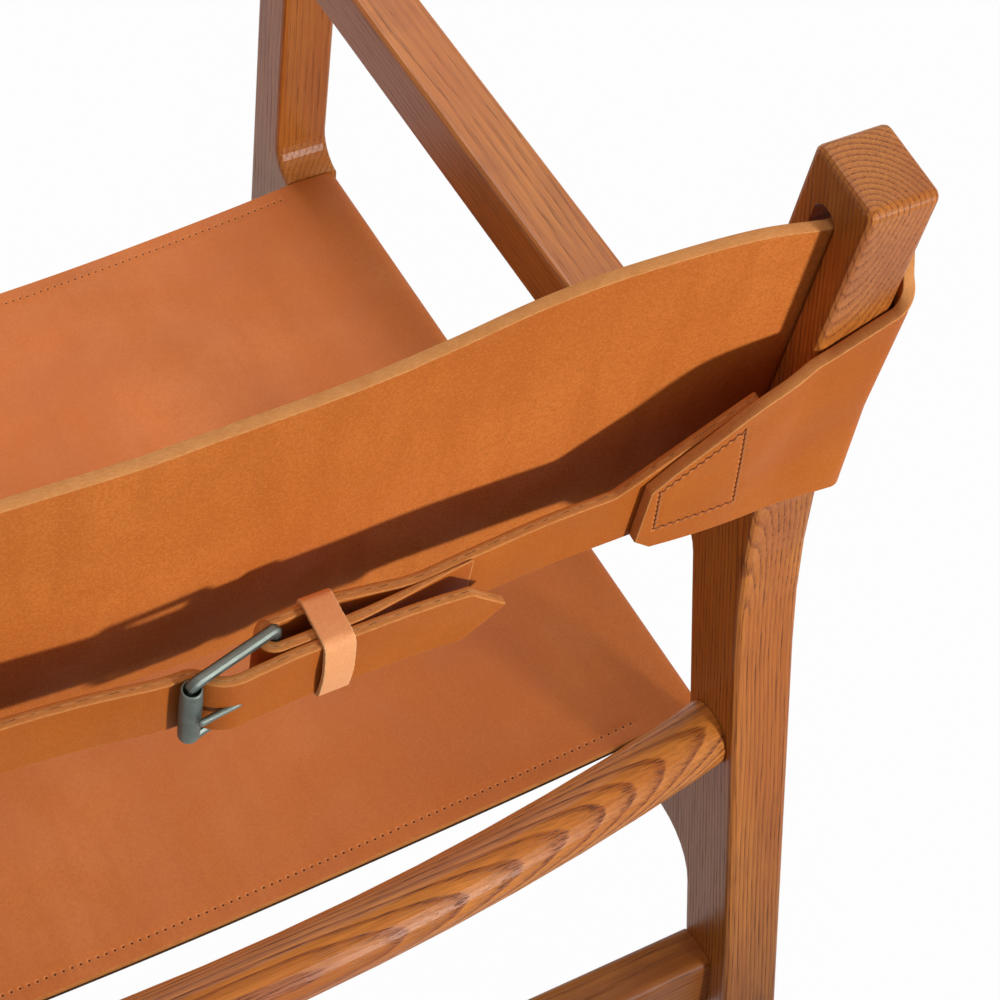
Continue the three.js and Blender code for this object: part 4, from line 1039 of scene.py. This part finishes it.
def left_strap():
    """Along the back, under the roller, up through the frame, over the loop, to a pointed tail."""
    under = ROLLER_OUT - ROLLER_TURN
    there = [
        (SEWN_END, STRAP_OUT),
        (WRAP_END, STRAP_OUT),
        (150, STRAP_OUT),
        (84, STRAP_OUT),
        (45, (STRAP_OUT + under) / 2 - 1.1),
        (10.6, under - CLEARANCE),
        (ROLLER_X + 1, under),
    ]
    first = curve(there, 14)
    turn = arc((ROLLER_X, ROLLER_OUT), ROLLER_TURN, -90, -146)
    over = OVER_LOOP
    home = [
        turn[-1],
        (-8.8, over - 1.8),
        (-13.4, over + 0.8),
        (-18.6, over + 1.9),
        (-30.1, over + 1.2),
        (-47, over + 0.2),
        (-87, over + 0.1),
        (-110, over + 0.6),
        (-129, over + 1.8),
        (-149, over + 2.2),
    ]
    rest = curve(home, 12)
    path = np.vstack([first[:-1], turn[:-1], rest])
    bend = Bend(path, path, STRAP_LOW, STRAP_HIGH, "abv", on_back)
    end = bend.u[-1]
    x_at = path[:, 0]
    rise_u = bend.u[np.argmin(np.abs(x_at - STRAP_RISES))]
    low, high = STRAP_LOW, STRAP_HIGH
    neck = end - TAIL_POINT
    outline = [(TRIM, low), (neck, low), (end - 0.3, STRAP_MIDDLE), (neck, high), (rise_u, high)]
    outline = filled(rounded([*outline, (TRIM, SEWN_TOP)], [2, 4, 1.2, 4, 8, 2]), 1.4)
    # the hole that the tongue passes through, and the slit before it
    count = len(first)
    tongue_u = float(np.interp(0, -(x_at[count:] + 15.5), bend.u[count:]))
    slit_u = float(np.interp(-SLIT_AT, -x_at[:count], bend.u[:count]))
    holes = [ellipse((tongue_u, STRAP_MIDDLE), 5.2, 2.9)]
    holes.append(ellipse((slit_u, STRAP_MIDDLE - SLIT_DROP), 2.7, 0.8, 14))
    us = np.unique(np.concatenate([np.linspace(0, end, 170), bend.u[count - 8 : count + 70]]))
    vs = np.linspace(low + 2, SEWN_TOP, 22)
    looks = [LEATHER, PLY_EDGE, FLESH]
    made = cut_piece("strap_left_leather", outline, bend, STRAP_LEATHER, looks, (us, vs), holes)
    return made, end


def ellipse(centre, wide, high, count=22):
    a = -2 * math.pi * np.arange(count) / count
    return np.stack([centre[0] + wide * np.cos(a), centre[1] + high * np.sin(a)], -1)


def keeper():
    """A pale band round both straps, pinched at its corners and bulging behind."""
    inner, half = HEEL_OUT - LOOP_RADIUS, KEEPER_LEATHER / 2
    front, rear = inner - STRAP_LEATHER / 2 - 0.4 - half, OVER_LOOP + STRAP_LEATHER / 2 + 0.5 + half
    low, high = STRAP_LOW - 0.4 - half, STRAP_HIGH + 0.4 + half
    bulge = 1.6
    side = [(rear, low + 4), (rear + bulge * 0.55, low + 11), (rear + bulge, STRAP_MIDDLE)]
    side += [(rear + bulge * 0.55, high - 11), (rear, high - 4)]
    loop = [
        [(front, STRAP_MIDDLE - 0.3)],
        arc((front + 3, low + 3), 3, 180, 270),
        arc((rear - 4, low + 4), 4, 270, 360)[:-1],
        curve(side, 10),
        arc((rear - 4, high - 4), 4, 0, 90)[1:],
        arc((front + 3, high - 3), 3, 90, 180),
        [(front, STRAP_MIDDLE + 0.3)],
    ]
    path = resample(np.vstack(loop), 0.7)
    bend = Bend(path, path, KEEPER_LOW, KEEPER_HIGH, "vab", on_back)
    end = bend.u[-1]
    start, stop, below, above = 0.1, end - 0.1, KEEPER_LOW + 0.1, KEEPER_HIGH - 0.1
    outline = filled(np.array([(start, below), (stop, below), (stop, above), (start, above)]), 0.7)
    grid = (np.arange(1.5, end - 1, 1.2), np.linspace(KEEPER_LOW + 2, KEEPER_HIGH - 2, 9))
    looks = [PALE, PALE_EDGE, FLESH]
    made = cut_piece("keeper_leather", outline, bend, KEEPER_LEATHER, looks, grid, rim=0.35, rough=0.09)
    return made, end


# Buckle

def back_row(points):
    return on_back(np.asarray(points, float))


BUCKLE_ANGLE = math.atan2(ROLLER_OUT - HEEL_OUT, ROLLER_X - HEEL_X)
BUCKLE_LENGTH = math.hypot(ROLLER_OUT - HEEL_OUT, ROLLER_X - HEEL_X)


def on_buckle(points):
    """Buckle plane: x from the heel bar to the roller, y across the strap, z out of the plane."""
    points = np.asarray(points, float)
    cos, sin = math.cos(BUCKLE_ANGLE), math.sin(BUCKLE_ANGLE)
    x = HEEL_X + points[:, 0] * cos - points[:, 2] * sin
    y = HEEL_OUT + points[:, 0] * sin + points[:, 2] * cos
    return back_row(np.stack([x, y, STRAP_MIDDLE + points[:, 1]], -1))


def buckle_frame():
    """A bar of chamfered section round a rounded rectangle; its far bar is a thin round axle."""
    half = 21.2 + 2.5
    corners = [(0, -half), (BUCKLE_LENGTH, -half), (BUCKLE_LENGTH, half), (0, half)]
    line = filled(rounded(corners, [2.4, 3.4, 3.4, 2.4], 0.5), 2.0)
    way = np.roll(line, -1, axis=0) - np.roll(line, 1, axis=0)
    way /= np.linalg.norm(way, axis=1, keepdims=True)
    out = np.stack([way[:, 1], -way[:, 0]], -1)
    c, s = 2.5, 1.35
    section = np.array([(c, -s), (c, s), (s, c), (-s, c), (-c, s), (-c, -s), (-s, -c), (s, -c)])
    points = []
    for p, o in zip(line, out):
        axle = np.clip((p[0] - BUCKLE_LENGTH + 1.2) / 1.2, 0, 1) * (abs(p[1]) < half - 2.4)
        scale = 1 - 0.3 * axle
        for a, b in section:
            points.append((p[0] + o[0] * a * scale, p[1] + o[1] * a * scale, b * scale))
    faces = quads(len(line), len(section))
    made = make_mesh("buckle_frame_metal", on_buckle(points), faces, [GUNMETAL])
    fix_normals(made)
    bevel = made.modifiers.new("edge", "BEVEL")
    bevel.width = 0.00035
    bevel.segments = 3
    bevel.limit_method = "ANGLE"
    bevel.angle_limit = math.radians(28)
    bevel.harden_normals = False
    return made


def lathe(name, profile, centre, look, sides=40):
    """A turned piece about the local z of the back; profile is (radius, height) pairs, closed."""
    points = []
    for k in range(sides):
        a = 2 * math.pi * k / sides
        for r, z in profile:
            points.append((centre[0] + r * math.cos(a), centre[1] + r * math.sin(a), STRAP_MIDDLE + z))
    made = make_mesh(name, back_row(points), quads(sides, len(profile)), [look])
    fix_normals(made)
    return made


def roller():
    half, bore = 20.7, 3.9
    zs = np.linspace(-half + 0.8, half - 0.8, 15)
    barrel = [(4.8 + 0.32 * (1 - (z / half) ** 2), z) for z in zs]
    lower = [(bore, -half), (4.2, -half), (4.62, -half + 0.25)]
    upper = [(radius, -z) for radius, z in reversed(lower)]
    return lathe("roller_metal", [*lower, *barrel, *upper], (ROLLER_X, ROLLER_OUT), GUNMETAL)


def tongue():
    """A ring round the heel bar and a bent round bar, flattened where it rests on the roller."""
    tip_out = ROLLER_OUT + (9.6 + 3.4) / 2 + 0.35
    knee = (ROLLER_X - 22, tip_out - 3.2)
    start = (HEEL_X + 4.0, HEEL_OUT + 2.6)
    middle = ((start[0] + knee[0]) / 2, (start[1] + knee[1]) / 2 + 0.3)
    line = curve([start, middle, knee, (ROLLER_X - 11, tip_out - 1.5), (ROLLER_X - 1.2, tip_out)], 8)
    runs = runs_of(line) / runs_of(line)[-1]
    flatten = np.clip((runs - 0.72) / 0.28, 0, 1)
    radii = np.stack([1.7 - 0.35 * flatten, 1.7 + 0.35 * flatten], -1) / 1000
    radii[-1] *= 0.72
    row = back_row(np.column_stack([line, np.full(len(line), STRAP_MIDDLE)]))
    bar = tube(row, radii, 14)
    ring_line = arc((HEEL_X, HEEL_OUT), 4.9, 0, 360, 0.5)[:-1]
    ring_row = back_row(np.column_stack([ring_line, np.full(len(ring_line), STRAP_MIDDLE)]))
    ring = tube(ring_row, (0.0017, 0.0009), 12, closed=True)
    return many("tongue_metal", [bar, ring], GUNMETAL)


# Build everything

def dress(piece, body, replaced):
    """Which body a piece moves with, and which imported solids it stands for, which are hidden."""
    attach(piece, body)
    if replaced:
        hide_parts(*replaced)


seat, seat_wide, seat_deep = seat_sling()
dress(seat, "chair", ["seat_sling"])

under, under_wide, under_deep = seat_lining()
dress(under, "chair", ["seat_lining"])

panel, panel_bend, panel_top, panel_bottom, panel_u = back_panel()
dress(panel, "chair", ["back_panel"])
tall = panel_top - panel_bottom
panel_area = 2 * float(((tall[1:] + tall[:-1]) / 2 * np.diff(panel_u)).sum()) / 1e6

strap_r, strap_r_end = right_strap()
dress(strap_r, "chair", ["strap_right"])

strap_l, strap_l_end = left_strap()
dress(strap_l, "chair", ["strap_left"])

band, band_end = keeper()
dress(band, "keeper", ["keeper"])

dress(buckle_frame(), "buckle", ["buckle_frame"])
dress(roller(), "roller", ["buckle_roller"])
dress(tongue(), "tongue", ["buckle_tongue"])

for label, line in zip(("left", "right"), seam_lines(panel_bend)):
    seam = stitches(f"wrap_stitches_{label}", panel_bend, line, BACK_LEATHER / 2)
    dress(seam, "chair", [])

# Wood: each timber with its own way of the grain
LEG_UP = (0, math.sin(math.radians(FRONT_RAKE)), math.cos(math.radians(FRONT_RAKE)))
ARM_ALONG = (0, math.cos(math.radians(SEAT_DATUM[2])), -math.sin(math.radians(SEAT_DATUM[2])))
# direction, a point of the tree's axis, then ring, warp, tone (painted shade), figure and whether the
# post is bent
WOODS = {
    "rear_post_right": ((0.006, -0.03, 1), (-0.309, 0.371, 0.78), 0.0029, 0.004, 0, 0.75, True),
    "rear_post_left": ((-0.006, -0.03, 1), (0.318, 0.364, 0.78), 0.003, 0.004, 0, 0.75, True),
    "front_leg_right": (LEG_UP, (-0.40, -0.2, 0.3), 0.0034, 0.006, 0, 0.4),
    "front_leg_left": (LEG_UP, (0.40, -0.2, 0.3), 0.0034, 0.006, 0, 0.4),
    "arm_right": (ARM_ALONG, (-0.28, 0.0, 0.66), 0.0038, 0.006, 0, 0.35),
    "arm_left": (ARM_ALONG, (0.28, 0.0, 0.66), 0.0038, 0.006, 0, 0.35),
    "side_rail_right": (ARM_ALONG, (-0.25, 0.0, 0.3)),
    "side_rail_left": (ARM_ALONG, (0.25, 0.0, 0.3)),
    "rear_rail": ((1, 0.0, 0.004), (0, 0.292, 0.366), 0.0029, 0.0035),
    # the low rear stretcher is darkened by painted shade through its tone of 0.2
    "rear_stretcher": ((1, 0.0, 0.01), (0, 0.34, 0.27), 0.0042, 0.006, 0.2, 0.5),
    "front_stretcher": ((1, 0.0, 0.01), (0, -0.22, 0.31)),
}


def give(node, look):
    node.data.materials.clear()
    node.data.materials.append(look)


for index, (name, (direction, pith, *growth)) in enumerate(WOODS.items()):
    give(nodes[name], wood(f"ash_{name}", direction, pith, *growth, seed=0.37 * index))
BEECH = wood("beech", (0, 1, 0), (0, 0, 0.3), 0.003, 0.002)
for start, look in {"dowel": BEECH, "sling_screw": ZINC, "glide": NYLON}.items():
    for name, node in nodes.items():
        if name.startswith(start):
            give(node, look)


def smooth(node, degrees):
    """Smooth shading across the facets of a round, hard across a real edge."""
    node.data.shade_smooth()
    node.data.set_sharp_from_angle(angle=math.radians(degrees))
    weighted = node.modifiers.new("weighted", "WEIGHTED_NORMAL")
    weighted.keep_sharp = True
    weighted.weight = 80


for name, node in nodes.items():
    if not node.hide_render:
        smooth(node, 40)

# Floor, light and camera

def stage_material(name, level):
    """White to the camera and in reflections, faintly shaded by what stands on it."""
    n = Look(name)
    n.shade(Base_Color=rgb(96, 96, 96), Roughness=0.9)
    n.shader.inputs["Specular IOR Level"].default_value = 0.0
    white = n.add("ShaderNodeEmission", {"Color": (1, 1, 1, 1), "Strength": 1.0})
    share = n.times(n.seen(), level)
    mixed = n.add("ShaderNodeMixShader", {0: share, 1: n.shader.outputs[0], 2: white.outputs[0]})
    n.put(n.output.inputs[0], mixed.outputs[0])
    return n.material


bpy.ops.mesh.primitive_plane_add(size=14, location=(0, 0, -0.0004))
floor = bpy.context.object
floor.name = "floor"
floor.data.materials.append(stage_material("floor", 0.985))

world = bpy.data.worlds.new("studio")
bpy.context.scene.world = world
sky = Nodes(world, "ShaderNodeOutputWorld")
dim = sky.add("ShaderNodeBackground", {0: (1, 0.94, 0.86, 1), 1: 0.38})
white = sky.add("ShaderNodeBackground", {0: (1, 1, 1, 1), 1: 1.0})
mixed = sky.add("ShaderNodeMixShader", {0: sky.seen(), 1: dim.outputs[0], 2: white.outputs[0]})
sky.put(sky.output.inputs[0], mixed.outputs[0])


def towards(azimuth, elevation):
    """The way from the chair to a place, by azimuth and elevation as the views count them."""
    a, e = math.radians(azimuth), math.radians(elevation)
    return Vector((math.sin(a) * math.cos(e), -math.cos(a) * math.cos(e), math.sin(e)))


def lamp(name, kind, back, energy):
    data = bpy.data.lights.new(name, kind)
    data.energy = energy
    made = bpy.data.objects.new(name, data)
    made.rotation_euler = back.to_track_quat("Z", "Y").to_euler()
    bpy.context.scene.collection.objects.link(made)
    return made


def sun(name, azimuth, elevation, strength, angle):
    """A distant lamp; angle is how wide it stands in the sky."""
    lamp(name, "SUN", towards(azimuth, elevation), strength).data.angle = math.radians(angle)


def spot(name, azimuth, elevation, distance, target, watts, softness, cone, blend):
    """A lamp aimed at a point; softness is its width in metres, cone its full angle."""
    back = towards(azimuth, elevation)
    made = lamp(name, "SPOT", back, watts)
    made.location = Vector(target) + back * distance
    made.data.shadow_soft_size = softness / 2
    made.data.spot_size = math.radians(cone)
    made.data.spot_blend = blend


spot("key", 203, 0.5, 3.0, (-0.08, 0.33, 0.72), 325, 0.3, 26, 0.7)
sun("top", 340, 66, 1.42, 50)
spot("seat", 350, 74, 2.0, (-0.16, -0.13, 0.39), 95, 0.5, 22, 1.0)

# The camera, as fitted to the photograph
AZIMUTH, ELEVATION, ROLL = 150.21, 43.60, 1.42
CAMERA_PLACE = (0.2236, 0.99331, 1.3838)

lens = bpy.data.cameras.new("camera")
lens.sensor_width = 36
lens.lens = 86.8
camera = bpy.data.objects.new("camera", lens)
back = towards(AZIMUTH, ELEVATION)
level = Vector((math.cos(math.radians(AZIMUTH)), math.sin(math.radians(AZIMUTH)), 0))
upright = back.cross(level)
cos, sin = math.cos(math.radians(ROLL)), math.sin(math.radians(ROLL))
turned = Matrix((level * cos + upright * sin, upright * cos - level * sin, back)).transposed()
camera.matrix_world = Matrix.Translation(CAMERA_PLACE) @ turned.to_4x4()
bpy.context.scene.collection.objects.link(camera)
bpy.context.scene.camera = camera
bpy.context.scene.view_settings.view_transform = "Standard"
